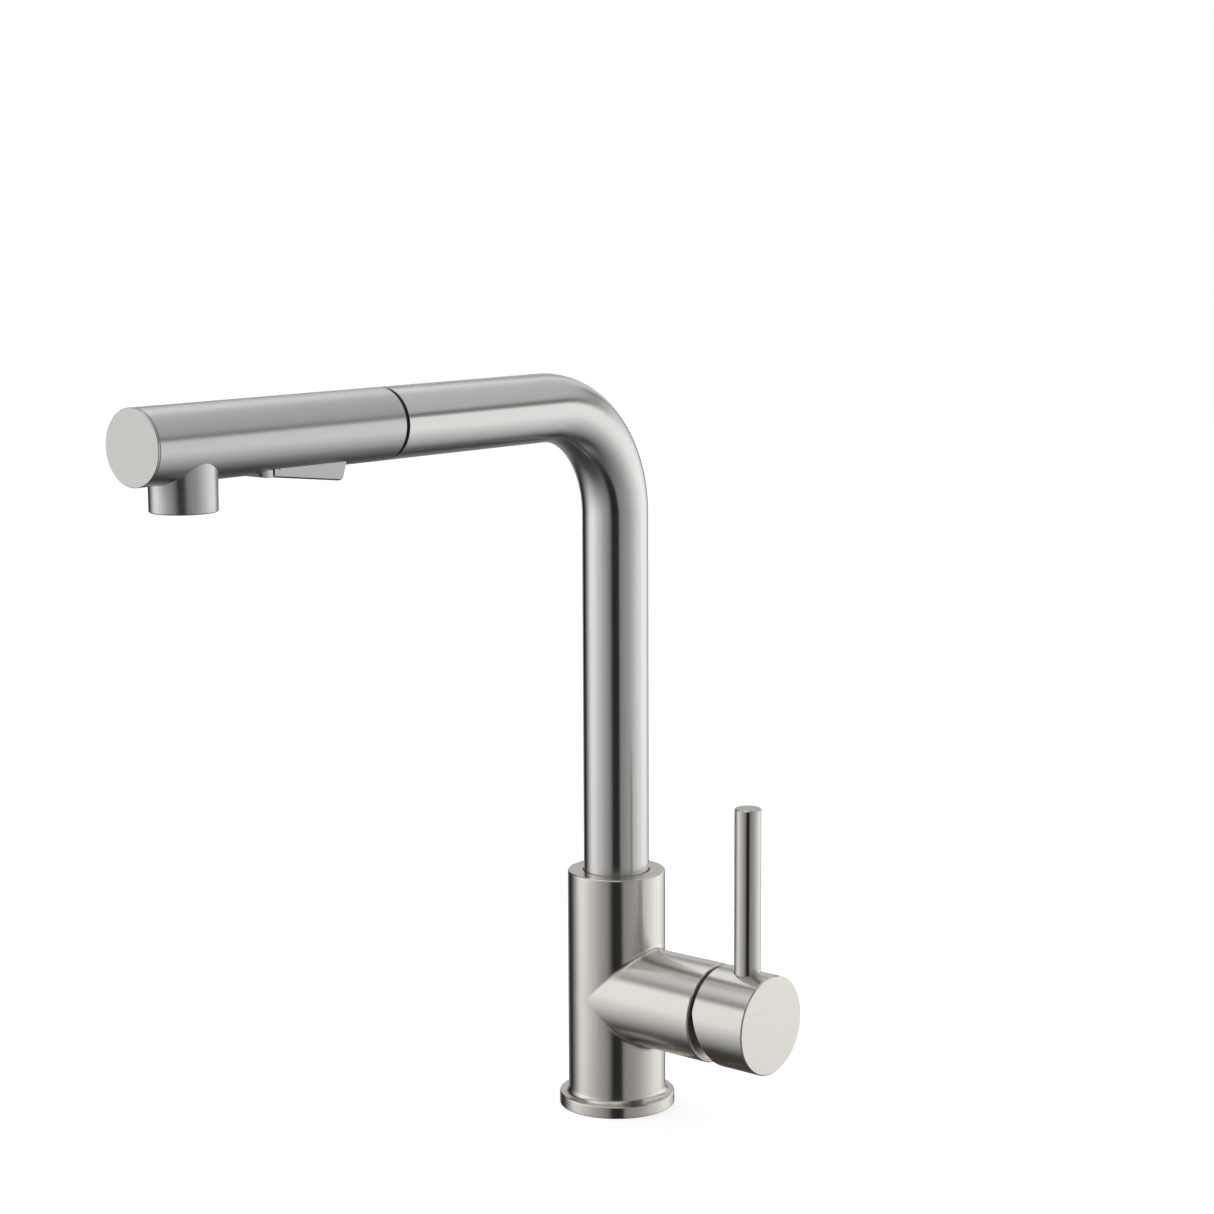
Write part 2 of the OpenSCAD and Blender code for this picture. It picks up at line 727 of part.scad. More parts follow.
// Helical return spring between the trigger and the waterway
module trigger_spring() color(steel) {
  sides = 6;
  per_turn = 18;
  steps = spring_turns * per_turn;
  height = pocket_z - trigger_top - spring_wire - 0.1;
  points = [for (i = [0:steps], j = [0:sides - 1])
    let (a = 360 * i / per_turn, b = 360 * j / sides, r = spring_r + spring_wire / 2 * cos(b))
      [r * cos(a), r * sin(a),
       height * i / steps + spring_wire / 2 * sin(b)]];
  faces = concat(
    [for (i = [0:steps - 1], j = [0:sides - 1])
      let (p = i * sides + j, q = i * sides + (j + 1) % sides)
        each [[p, p + sides, q + sides], [p, q + sides, q]]],
    [[for (j = [0:sides - 1]) j]],
    [[for (j = [sides - 1:-1:0]) steps * sides + j]]);
  translate([0, -spring_y, trigger_top + spring_wire / 2 + 0.05])
    polyhedron(points = points, faces = faces);
}

// ---------- trigger and diverter ----------

module trigger() color(nickel) {
  side = trigger_w / 2;
  difference() {
    translate([-side, 0, 0]) rotate([90, 0, 90]) linear_extrude(trigger_w)
      polygon(concat(
        [[-trigger_y1, trigger_top], [-trigger_y1, trigger_front]],
        arc_points([-trigger_y0 - trigger_rake - trigger_heel, trigger_tail + trigger_heel],
          trigger_heel, 270, 350),
        [[-trigger_y0, spout_h - tube_r + 2.2], [-trigger_y0, trigger_top]]));
    translate([0, -hinge_y, hinge_z]) bar_x(1.25 + run, -side - 1, side + 1);
    // ease the two lower edges
    for (s = [-1, 1])
      translate([s * side, -trigger_y1, trigger_front])
        rotate([-underside_slope, 0, 0]) rotate([0, 45, 0])
          translate([-trigger_ease / 2, -1, -trigger_ease / 2])
            cube([trigger_ease, trigger_len + 4, trigger_ease]);
    // round the hinged top corner so it clears the slot
    translate([-side - 1, -trigger_y1 - 1, hinge_z + 1.2]) cube([trigger_w + 2, 2.2, 2]);
  }
}

module diverter_plunger() color(brass) translate([0, -plunger_y, 0]) {
  bar_z(plunger_r, trigger_top + 0.3, spout_h - 1);
  bar_z(plunger_r + 1, pocket_z - lift + 1.2, pocket_z - lift + 2.2);
}

// ---------- turning part of the valve ----------

module spindle_guide() color(white_plastic) at_valve() difference() {
  union() {
    bar_x(shell_bore - free, guide_x0, shell_x - 1.5 - free);
    bar_x(guide_neck_r - run, shell_x - 3, guide_x1);
  }
  translate([driver_x, -stem_w / 2 - free, -slot_low])
    cube([pivot_x - driver_x + 6, stem_w + 2 * free, slot_low + slot_high]);
  translate([pivot_x, 0, 0]) bar_y(pin_r, -pin_len, pin_len);
}

module pivot_pin() color(steel) at_valve() translate([pivot_x, 0, 0])
  bar_y(pin_r - 0.02, -pin_len / 2, pin_len / 2);

module moving_disc() color(ceramic) at_valve() translate([0, 0, disc_z]) difference() {
  bar_x(disc_r, slide_x, driver_x);
  translate([0, 0, 2]) bar_x(drill_r + 1, slide_x - 1, slide_x + 2);
}

module disc_driver() color(white_plastic) at_valve() difference() {
  translate([0, 0, disc_z]) bar_x(disc_r, driver_x, driver_x + driver_t);
  bar_x(ball_r + free, driver_x + 0.2, driver_x + driver_t + 1);
}

// ---------- lever, which tilts on the pivot pin ----------

module spindle() color(steel) at_valve() difference() {
  union() {
    translate([ball_x, 0, 0]) sphere(r = ball_r);
    bar_x(stem_neck_r, ball_x, stem_x0 + 1);
    translate([stem_x0, -stem_w / 2, -stem_w / 2]) cube([stem_x1 - stem_x0, stem_w, stem_w]);
  }
  translate([pivot_x, 0, 0]) bar_y(pin_r + run, -stem_w, stem_w);
}

module handle_cap() color(nickel) at_valve() difference() {
  union() {
    difference() {
      union() {
        bar_x(cap_r, cap_x0, cap_x1 - 0.5);
        cone_x(cap_r, cap_r - 0.5, cap_x1 - 0.5, cap_x1);
      }
      bar_x(cap_r - cap_wall, cap_x0 - 1, cavity_x1);
      // slanted back edge from just above the axis, so the cap clears the housing as it tilts
      translate([cap_x0, 0, cap_kink]) rotate([0, -cap_cut, 0])
        translate([-30, -cap_r - 1, -60]) cube([30, 2 * cap_r + 2, 60]);
    }
    bar_x(hub_r, hub_x0, cavity_x1 + 1);
  }
  translate([hub_x0 - 1, -stem_w / 2 - seat, -stem_w / 2 - seat])
    cube([stem_x1 - hub_x0 + 1 + seat, stem_w + 2 * seat, stem_w + 2 * seat]);
  translate([lever_x, 0, 0]) {
    bar_z(stud_r + seat, stem_w / 2 + 1, cap_r);
    bar_z(lever_r + seat, cap_r - cap_wall + 1, cap_r + 1);
    bar_z(screw_r + seat, -hub_r - 1, -stem_w / 2);
    bar_z(plug_r + seat, -cap_r - 1, -hub_r - 5);
  }
}

module lever_rod() color(nickel) translate([lever_x, 0, 0]) {
  bar_z(stud_r, valve_z + stem_w / 2 + 1.5, valve_z + cap_r);
  bar_z(lever_r, valve_z + cap_r - cap_wall + 1.05, lever_z1 - 0.5);
  cone_z(lever_r, lever_r - 0.5, lever_z1 - 0.5, lever_z1);
}

module handle_screw() color(steel) at_valve() translate([lever_x, 0, 0]) difference() {
  bar_z(screw_r, -hub_r - 0.4, -stem_w / 2 - 0.02);
  translate([0, 0, -hub_r - 1]) cylinder(r = 1.45, h = 2.6, $fn = 6);
}

module handle_plug() color(black_plastic) at_valve() translate([lever_x, 0, 0])
  intersection() {
    bar_z(plug_r, -cap_r - 1, -cap_r + cap_wall + 0.5);
    bar_x(cap_r - 0.1, -cap_r, cap_r);
  }

// ---------- one line for each node ----------

body();
deck_gasket();
mounting_shank();
rubber_washer();
steel_washer();
mounting_nut();
valve_manifold();
cartridge_base();
port_seals();
fixed_disc();
cartridge_shell();
cartridge_nut();
dome_ring();
upper_bush();
friction_ring();
lower_bush();
bush_circlip();
stop_screw();
spout_tube();
spout_collar();
dock_bush();
pull_out_hose();
hose_fitting();
head_shell();
head_end_cap();
dock_collar();
hose_nut();
filter_washer();
check_valve();
waterway_body();
spray_housing();
spray_mat();
spray_face();
aerator_insert();
trigger_pin();
trigger_spring();
trigger();
diverter_plunger();
spindle_guide();
pivot_pin();
moving_disc();
disc_driver();
spindle();
handle_cap();
lever_rod();
handle_screw();
handle_plug();
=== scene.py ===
"""Pull down kitchen faucet in brushed nickel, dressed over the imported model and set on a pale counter.

model.glb holds every rigid piece in its place. This script gives each of them its real finish, makes
the pieces that are too fine for the solid model, and sets up the counter, the light and the camera.
Sizes are in metres unless their description says mm, with Z up from the counter and the spout along -Y.
"""

import logging
import math
from collections.abc import Sequence
from dataclasses import dataclass
from enum import Enum
from typing import Any, ClassVar

import bmesh
import bpy
from mathutils import Matrix, Vector


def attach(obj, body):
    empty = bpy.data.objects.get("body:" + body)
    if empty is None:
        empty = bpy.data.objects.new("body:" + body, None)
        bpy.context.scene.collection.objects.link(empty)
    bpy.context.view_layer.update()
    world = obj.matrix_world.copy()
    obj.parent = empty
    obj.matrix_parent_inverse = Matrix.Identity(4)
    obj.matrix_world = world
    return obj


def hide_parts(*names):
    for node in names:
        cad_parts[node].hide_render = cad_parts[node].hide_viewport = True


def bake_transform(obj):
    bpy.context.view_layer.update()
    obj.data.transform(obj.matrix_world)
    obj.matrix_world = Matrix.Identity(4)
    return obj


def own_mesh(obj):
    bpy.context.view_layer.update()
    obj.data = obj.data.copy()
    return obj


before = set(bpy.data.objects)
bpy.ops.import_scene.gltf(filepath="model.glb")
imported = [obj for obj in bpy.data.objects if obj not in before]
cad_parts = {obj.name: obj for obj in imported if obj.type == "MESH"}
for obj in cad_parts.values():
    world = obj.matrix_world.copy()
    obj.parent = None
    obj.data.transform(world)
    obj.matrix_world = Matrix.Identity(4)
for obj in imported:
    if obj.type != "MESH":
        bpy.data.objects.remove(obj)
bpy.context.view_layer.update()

MM = 0.001
# Centre of the spout's level run, and radius of its bend: the tube, the hose and the head share them
SPOUT_HEIGHT = 327.0 * MM
SPOUT_BEND = 51.0 * MM
log = logging.getLogger("faucet")

Socket = bpy.types.NodeSocket
Tree = bpy.types.NodeTree
Colour = tuple[float, float, float, float]
Point = tuple[float, float, float]
Face = tuple[int, ...]


def linear(colour: str) -> Colour:
    """Turns an sRGB hex colour into Blender's linear one.

    Args:
        colour: The colour as "#RRGGBB".

    Returns:
        Red, green, blue and an alpha of 1.
    """
    parts = [int(colour[i : i + 2], 16) / 255 for i in (1, 3, 5)]
    red, green, blue = (
        c / 12.92 if c <= 0.04045 else ((c + 0.055) / 1.055) ** 2.4 for c in parts
    )
    return red, green, blue, 1.0


def grey(level: float) -> Colour:
    """Returns a neutral linear colour of that level."""
    return level, level, level, 1.0


def add(tree: Tree, kind: str, settings: dict[str, Any] | None = None,
        inputs: dict[int | str, Any] | None = None) -> bpy.types.Node:
    """Adds one shader node with its settings, values and links.

    Args:
        tree: The node tree that gets the node.
        kind: The node's type, without the word ShaderNode.
        settings: Attributes to set on the node.
        inputs: A value, or an output to link from, for each input by name or number.

    Returns:
        The new node.
    """
    node = tree.nodes.new("ShaderNode" + kind)
    for name, value in (settings or {}).items():
        setattr(node, name, value)
    for key, value in (inputs or {}).items():
        if isinstance(value, bpy.types.NodeSocket):
            tree.links.new(value, node.inputs[key])
        else:
            node.inputs[key].default_value = value
    return node


def blank(block: bpy.types.Material | bpy.types.World) -> Tree:
    """Gives a new material or world an empty node tree, and returns that tree."""
    block.use_nodes = True
    block.node_tree.nodes.clear()
    return block.node_tree


def ring(centre: Vector, radius: float, across: Vector, up: Vector, sides: int) -> list[Vector]:
    """Lists the corners of a regular ring.

    Args:
        centre: Its centre.
        radius: Its radius.
        across: Direction from the centre to the first corner.
        up: Direction to the point a quarter of the way round.
        sides: Number of corners.

    Returns:
        The corners, in order.
    """
    turns = [math.tau * side / sides for side in range(sides)]
    return [centre + radius * (math.cos(turn) * across + math.sin(turn) * up) for turn in turns]


def band(low: int, high: int, sides: int) -> list[Face]:
    """Lists the faces of the band between two closed rings.

    Args:
        low: Number of the lower ring's first corner.
        high: Number of the upper ring's first corner.
        sides: Number of corners in each ring.

    Returns:
        The corner numbers of each face.
    """
    pairs = [(side, (side + 1) % sides) for side in range(sides)]
    return [(low + side, low + after, high + after, high + side) for side, after in pairs]


def new_object(name: str, verts: Sequence[Sequence[float]], faces: Sequence[Face],
               smooth: bool = True) -> bpy.types.Object:
    """Makes a mesh object from its corners and faces.

    Args:
        name: The object's name.
        verts: The corners, in metres.
        faces: The corner numbers of each face.
        smooth: Whether its faces are shaded smooth.

    Returns:
        The object, linked to the scene.
    """
    mesh = bpy.data.meshes.new(name)
    mesh.from_pydata([tuple(vert) for vert in verts], [], faces)
    mesh.polygons.foreach_set("use_smooth", [smooth] * len(mesh.polygons))
    mesh.validate()
    mesh.update()
    obj = bpy.data.objects.new(name, mesh)
    bpy.context.scene.collection.objects.link(obj)
    return obj


def weld(obj: bpy.types.Object, gap: float) -> None:
    """Joins the corners of a mesh that lie close together.

    Args:
        obj: The mesh object.
        gap: Distance below which two corners become one.
    """
    work = bmesh.new()
    work.from_mesh(obj.data)
    bmesh.ops.remove_doubles(work, verts=work.verts, dist=gap)
    work.to_mesh(obj.data)
    work.free()


def spout_line(tree: Tree, place: Socket, height: float, bend: float) -> tuple[Socket, Socket]:
    """Follows the spout's centre line up the post, round the bend and out, whichever way it is turned.

    Args:
        tree: The material's nodes.
        place: The point, in metres.
        height: Height of the level run's centre.
        bend: Radius of the bend's centre line.

    Returns:
        The line's direction as a vector, and the distance along it.
    """
    parts = add(tree, "SeparateXYZ", None, {0: place})
    flat = add(tree, "CombineXYZ", None, {0: parts.outputs["X"], 1: parts.outputs["Y"]})
    reach = add(tree, "VectorMath", {"operation": "LENGTH"}, {0: flat.outputs[0]})
    aim = add(tree, "VectorMath", {"operation": "NORMALIZE"}, {0: flat.outputs[0]})
    left = add(tree, "Math", {"operation": "SUBTRACT"}, {0: bend, 1: reach.outputs["Value"]})
    climb = add(tree, "Math", {"operation": "SUBTRACT"}, {0: parts.outputs["Z"], 1: height - bend})
    out = add(tree, "Math", {"operation": "MAXIMUM"}, {0: left.outputs[0], 1: 0.0})
    rise = add(tree, "Math", {"operation": "MAXIMUM"}, {0: climb.outputs[0], 1: 0.0})
    level = add(tree, "VectorMath", {"operation": "SCALE"}, {0: aim.outputs[0], "Scale": rise.outputs[0]})
    upright = add(tree, "CombineXYZ", None, {2: out.outputs[0]})
    line = add(tree, "VectorMath", {"operation": "ADD"}, {0: level.outputs[0], 1: upright.outputs[0]})
    unit = add(tree, "VectorMath", {"operation": "NORMALIZE"}, {0: line.outputs[0]})
    turn = add(tree, "Math", {"operation": "ARCTAN2"}, {0: rise.outputs[0], 1: out.outputs[0]})
    arc = add(tree, "Math", {"operation": "MULTIPLY"}, {0: turn.outputs[0], 1: bend})
    low = add(tree, "Math", {"operation": "MINIMUM"}, {0: climb.outputs[0], 1: 0.0})
    far = add(tree, "Math", {"operation": "MINIMUM"}, {0: left.outputs[0], 1: 0.0})
    start = add(tree, "Math", {"operation": "ADD"}, {0: low.outputs[0], 1: arc.outputs[0]})
    along = add(tree, "Math", {"operation": "SUBTRACT"}, {0: start.outputs[0], 1: far.outputs[0]})
    return unit.outputs[0], along.outputs[0]


# ---------------------------------------------------------------- finishes


@dataclass(frozen=True)
class Finish:
    """A surface as it is bought: what it is made of, and how it was worked.

    Attributes:
        name: The material's name.
        colour: Its main colour, as sRGB hex.
        roughness: How far it scatters a reflection.
        metallic: 1 for a metal, 0 for anything else.
    """

    name: str
    colour: str
    roughness: float
    metallic: float = 0.0
    made: ClassVar[dict[str, bpy.types.Material]] = {}

    def material(self) -> bpy.types.Material:
        """Builds the material on its first use.

        Returns:
            The material.
        """
        if self.name not in Finish.made:
            mat = bpy.data.materials.new(self.name)
            mat.diffuse_color = linear(self.colour)
            tree = blank(mat)
            shader = add(tree, "BsdfPrincipled", None, {
                "Base Color": linear(self.colour),
                "Roughness": self.roughness,
                "Metallic": self.metallic,
            })
            add(tree, "OutputMaterial", None, {"Surface": shader.outputs["BSDF"]})
            self.work(tree, shader)
            Finish.made[self.name] = mat
        return Finish.made[self.name]

    def work(self, tree: Tree, shader: bpy.types.Node) -> None:
        """Adds what the making leaves on the surface; a plain finish has none."""

    def coat(self, obj: bpy.types.Object) -> None:
        """Puts the finish on one object, in place of what it had."""
        obj.data.materials.clear()
        obj.data.materials.append(self.material())
        log.info("%s: %s", obj.name, self.name)

    def cover(self, *nodes: str) -> None:
        """Puts the finish on the CAD nodes of those names."""
        for node in nodes:
            self.coat(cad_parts[node])


class Lay(Enum):
    """The line that the belt or the lathe ran round, so that its scratches circle it."""

    UPRIGHT = (0.0, 0.0, 1.0)
    VALVE = (1.0, 0.0, 0.0)
    LEVEL = (0.0, 1.0, 0.0)


@dataclass(frozen=True)
class Brushed(Finish):
    """Metal brushed round by a fine belt, or turned on a lathe.

    The scratches spread a reflection along the axis and keep it narrow round it, so a post shows
    soft upright stripes. Real scratches are about 0.05 mm apart. They are drawn coarser, because
    finer ones can't show from over a metre away.

    Attributes:
        lay: The axis that the scratches circle.
        spread: How much further the reflection spreads along the axis, 0 to 1.
        scratch: Distance between drawn scratches, in mm.
        stroke: Length of a drawn scratch, in mm.
        mark: How strongly the scratches show, 0 to 1.
        edge: Radius to which the polishing has eased the edges, in mm.
        swing: How far a full mark changes the roughness.
        shift: How far it changes the tone.
        relief: How strongly its depth shows.
        depth: That depth, in mm.
        square: How nearly along the axis a surface faces, as a cosine, where it counts as an end face.
    """

    lay: Lay = Lay.UPRIGHT
    spread: float = 0.85
    scratch: float = 0.6
    stroke: float = 40.0
    mark: float = 0.3
    edge: float = 0.25
    swing: float = 0.05
    shift: float = 0.07
    relief: float = 0.2
    depth: float = 0.01
    square: float = 0.9
    # Crossed with any axis, this gives the direction across the brushing of an end face
    askew: ClassVar[Point] = (0.7, 0.7, 0.0)
    # The noise seldom leaves these limits, so they are stretched to the whole range
    contrast: ClassVar[tuple[float, float]] = (0.3, 0.7)

    def path(self, tree: Tree, place: Socket) -> tuple[Socket, Socket]:
        """Works out which way the axis runs at each point, and how far along it the point is.

        Args:
            tree: The material's nodes.
            place: The point, in metres.

        Returns:
            The axis as a vector, and the distance along it.
        """
        axis = add(tree, "CombineXYZ", None, dict(enumerate(self.lay.value)))
        along = add(tree, "VectorMath", {"operation": "DOT_PRODUCT"}, {0: place, 1: axis.outputs[0]})
        return axis.outputs[0], along.outputs["Value"]

    def grain(self, tree: Tree, coords: bpy.types.Node) -> tuple[Socket, Socket]:
        """Finds the direction across the scratches, and the distance along it.

        A round side is brushed round the axis, and an end face is brushed straight across.

        Args:
            tree: The material's nodes.
            coords: The point's coordinates.

        Returns:
            The direction as a vector, and the distance along it.
        """
        place = coords.outputs["Object"]
        axis, along = self.path(tree, place)
        facing = add(tree, "VectorMath", {"operation": "DOT_PRODUCT"},
                     {0: coords.outputs["Normal"], 1: axis})
        cosine = add(tree, "Math", {"operation": "ABSOLUTE"}, {0: facing.outputs["Value"]})
        is_face = add(tree, "Math", {"operation": "GREATER_THAN"}, {0: cosine.outputs[0], 1: self.square})
        across = add(tree, "VectorMath", {"operation": "CROSS_PRODUCT"}, {0: axis, 1: self.askew})
        over = add(tree, "VectorMath", {"operation": "DOT_PRODUCT"}, {0: place, 1: across.outputs[0]})
        lay = add(tree, "Mix", {"data_type": "VECTOR"},
                  {"Factor": is_face.outputs[0], 4: axis, 5: across.outputs[0]})
        reach = add(tree, "Mix", {"data_type": "FLOAT"},
                    {"Factor": is_face.outputs[0], 2: along, 3: over.outputs["Value"]})
        return lay.outputs[1], reach.outputs[0]

    def scratches(self, tree: Tree, place: Socket, reach: Socket) -> Socket:
        """Draws long thin strokes side by side.

        Args:
            tree: The material's nodes.
            place: The point, in metres.
            reach: Its distance across the scratches.

        Returns:
            The pattern's height, 0 to 1.
        """
        slow = add(tree, "VectorMath", {"operation": "SCALE"}, {0: place, "Scale": 1 / (self.stroke * MM)})
        fast = add(tree, "Math", {"operation": "MULTIPLY"}, {0: reach, 1: 1 / (self.scratch * MM)})
        step = add(tree, "CombineXYZ", None, {2: fast.outputs[0]})
        lines = add(tree, "VectorMath", {"operation": "ADD"}, {0: slow.outputs[0], 1: step.outputs[0]})
        noise = add(tree, "TexNoise", None,
                    {"Vector": lines.outputs[0], "Scale": 1.0, "Detail": 2.0, "Roughness": 0.5})
        low, high = self.contrast
        clear = add(tree, "MapRange", None,
                    {"Value": noise.outputs["Fac"], "From Min": low, "From Max": high})
        return clear.outputs[0]

    def work(self, tree: Tree, shader: bpy.types.Node) -> None:
        """Lays the scratches, and turns the reflection's spread along the axis.

        Args:
            tree: The material's nodes.
            shader: Its surface shader.
        """
        coords = add(tree, "TexCoord")
        lay, reach = self.grain(tree, coords)
        turned = add(tree, "VectorTransform",
                     {"vector_type": "VECTOR", "convert_from": "OBJECT", "convert_to": "WORLD"},
                     {"Vector": lay})
        shader.inputs["Anisotropic"].default_value = self.spread
        tree.links.new(turned.outputs[0], shader.inputs["Tangent"])
        height = self.scratches(tree, coords.outputs["Object"], reach)
        swing = self.swing * self.mark
        rough = add(tree, "MapRange", None,
                    {"Value": height, "To Min": self.roughness - swing, "To Max": self.roughness + swing})
        tree.links.new(rough.outputs[0], shader.inputs["Roughness"])
        shift = self.shift * self.mark
        tone = add(tree, "MapRange", None, {"Value": height, "To Min": 1 - shift, "To Max": 1 + shift})
        base = add(tree, "VectorMath", {"operation": "SCALE"},
                   {0: linear(self.colour)[:3], "Scale": tone.outputs[0]})
        tree.links.new(base.outputs[0], shader.inputs["Base Color"])
        eased = add(tree, "Bevel", {"samples": 6}, {"Radius": self.edge * MM})
        bump = add(tree, "Bump", None, {
            "Strength": self.relief * self.mark, "Distance": self.depth * MM,
            "Height": height, "Normal": eased.outputs[0],
        })
        tree.links.new(bump.outputs[0], shader.inputs["Normal"])


@dataclass(frozen=True)
class BentTube(Brushed):
    """A tube that was bent first and brushed afterwards, round its own line all the way.

    Attributes:
        height: Height of the level run's centre.
        bend: Radius of the bend's centre line.
    """

    height: float = 0.0
    bend: float = 0.0

    def path(self, tree: Tree, place: Socket) -> tuple[Socket, Socket]:
        """Returns the tube's direction at the point, and the distance along it."""
        return spout_line(tree, place, self.height, self.bend)


@dataclass(frozen=True)
class JoinedPost(Brushed):
    """An upright post with a level housing grown out of its side, each brushed round its own axis.

    Attributes:
        valve_height: Height of the housing's axis.
        reach: Distance from the post's axis to the crown of the seam.
        seam: Half the width over which one brushing gives way to the other, at the crown.
        point: The same at the sides, where the two surfaces run into each other.
    """

    valve_height: float = 0.0
    reach: float = 22.5 * MM
    seam: float = 2.5 * MM
    point: float = 16.0 * MM

    def path(self, tree: Tree, place: Socket) -> tuple[Socket, Socket]:
        """Tells the housing, which is nearer the valve's axis, from the post.

        Args:
            tree: The material's nodes.
            place: The point, in metres.

        Returns:
            The axis as a vector, and the distance along it.
        """
        parts = add(tree, "SeparateXYZ", None, {0: place})
        above = add(tree, "Math", {"operation": "SUBTRACT"}, {0: parts.outputs["Z"], 1: self.valve_height})
        off = add(tree, "Math", {"operation": "ABSOLUTE"}, {0: above.outputs[0]})
        lead = add(tree, "Math", {"operation": "SUBTRACT"}, {0: parts.outputs["X"], 1: off.outputs[0]})
        soft = add(tree, "MapRange", None, {
            "Value": parts.outputs["X"], "From Min": 0.0, "From Max": self.reach,
            "To Min": self.point, "To Max": self.seam,
        })
        step = add(tree, "Math", {"operation": "DIVIDE"}, {0: lead.outputs[0], 1: soft.outputs[0]})
        share = add(tree, "MapRange", {"interpolation_type": "SMOOTHSTEP"},
                    {"Value": step.outputs[0], "From Min": -1.0, "From Max": 1.0})
        axis = add(tree, "Mix", {"data_type": "VECTOR"},
                   {"Factor": share.outputs[0], 4: Lay.UPRIGHT.value, 5: Lay.VALVE.value})
        unit = add(tree, "VectorMath", {"operation": "NORMALIZE"}, {0: axis.outputs[1]})
        along = add(tree, "Mix", {"data_type": "FLOAT"},
                    {"Factor": share.outputs[0], 2: parts.outputs["Z"], 3: parts.outputs["X"]})
        return unit.outputs[0], along.outputs[0]


@dataclass(frozen=True)
class BranchedHead(Brushed):
    """A level tube with an upright outlet in its underside, each brushed round its own axis.

    Attributes:
        height: Height of the tube's axis.
        tube: Just over the tube's radius, where the outlet starts.
    """

    height: float = 0.0
    tube: float = 0.0

    def path(self, tree: Tree, place: Socket) -> tuple[Socket, Socket]:
        """Tells the outlet, which stands clear of the tube, from the tube.

        Args:
            tree: The material's nodes.
            place: The point, in metres.

        Returns:
            The axis as a vector, and the distance along it.
        """
        parts = add(tree, "SeparateXYZ", None, {0: place})
        above = add(tree, "Math", {"operation": "SUBTRACT"}, {0: parts.outputs["Z"], 1: self.height})
        flat = add(tree, "CombineXYZ", None, {0: parts.outputs["X"], 1: above.outputs[0]})
        off = add(tree, "VectorMath", {"operation": "LENGTH"}, {0: flat.outputs[0]})
        clear = add(tree, "Math", {"operation": "GREATER_THAN"}, {0: off.outputs["Value"], 1: self.tube})
        axis = add(tree, "Mix", {"data_type": "VECTOR"},
                   {"Factor": clear.outputs[0], 4: Lay.LEVEL.value, 5: Lay.UPRIGHT.value})
        along = add(tree, "Mix", {"data_type": "FLOAT"},
                    {"Factor": clear.outputs[0], 2: parts.outputs["Y"], 3: parts.outputs["Z"]})
        return axis.outputs[1], along.outputs[0]


@dataclass(frozen=True)
class Moulded(Finish):
    """A part from a mould, with the fine grain of the mould's cavity.

    Attributes:
        grain: Size of the grain, in mm, drawn coarser than the real 0.1 so that it shows.
        depth: Depth of that grain, in mm.
        relief: How strongly that depth shows, 0 to 1.
        swing: How far the grain changes the roughness.
    """

    grain: float = 0.5
    depth: float = 0.02
    relief: float = 0.4
    swing: float = 0.06

    def work(self, tree: Tree, shader: bpy.types.Node) -> None:
        """Adds the grain as relief and as a slight change of gloss.

        Args:
            tree: The material's nodes.
            shader: Its surface shader.
        """
        coords = add(tree, "TexCoord")
        noise = add(tree, "TexNoise", None,
                    {"Vector": coords.outputs["Object"], "Scale": 1 / (self.grain * MM), "Detail": 3.0})
        rough = add(tree, "MapRange", None, {
            "Value": noise.outputs["Fac"],
            "To Min": self.roughness - self.swing, "To Max": self.roughness + self.swing,
        })
        tree.links.new(rough.outputs[0], shader.inputs["Roughness"])
        bump = add(tree, "Bump", None,
                   {"Strength": self.relief, "Distance": self.depth * MM, "Height": noise.outputs["Fac"]})
        tree.links.new(bump.outputs[0], shader.inputs["Normal"])


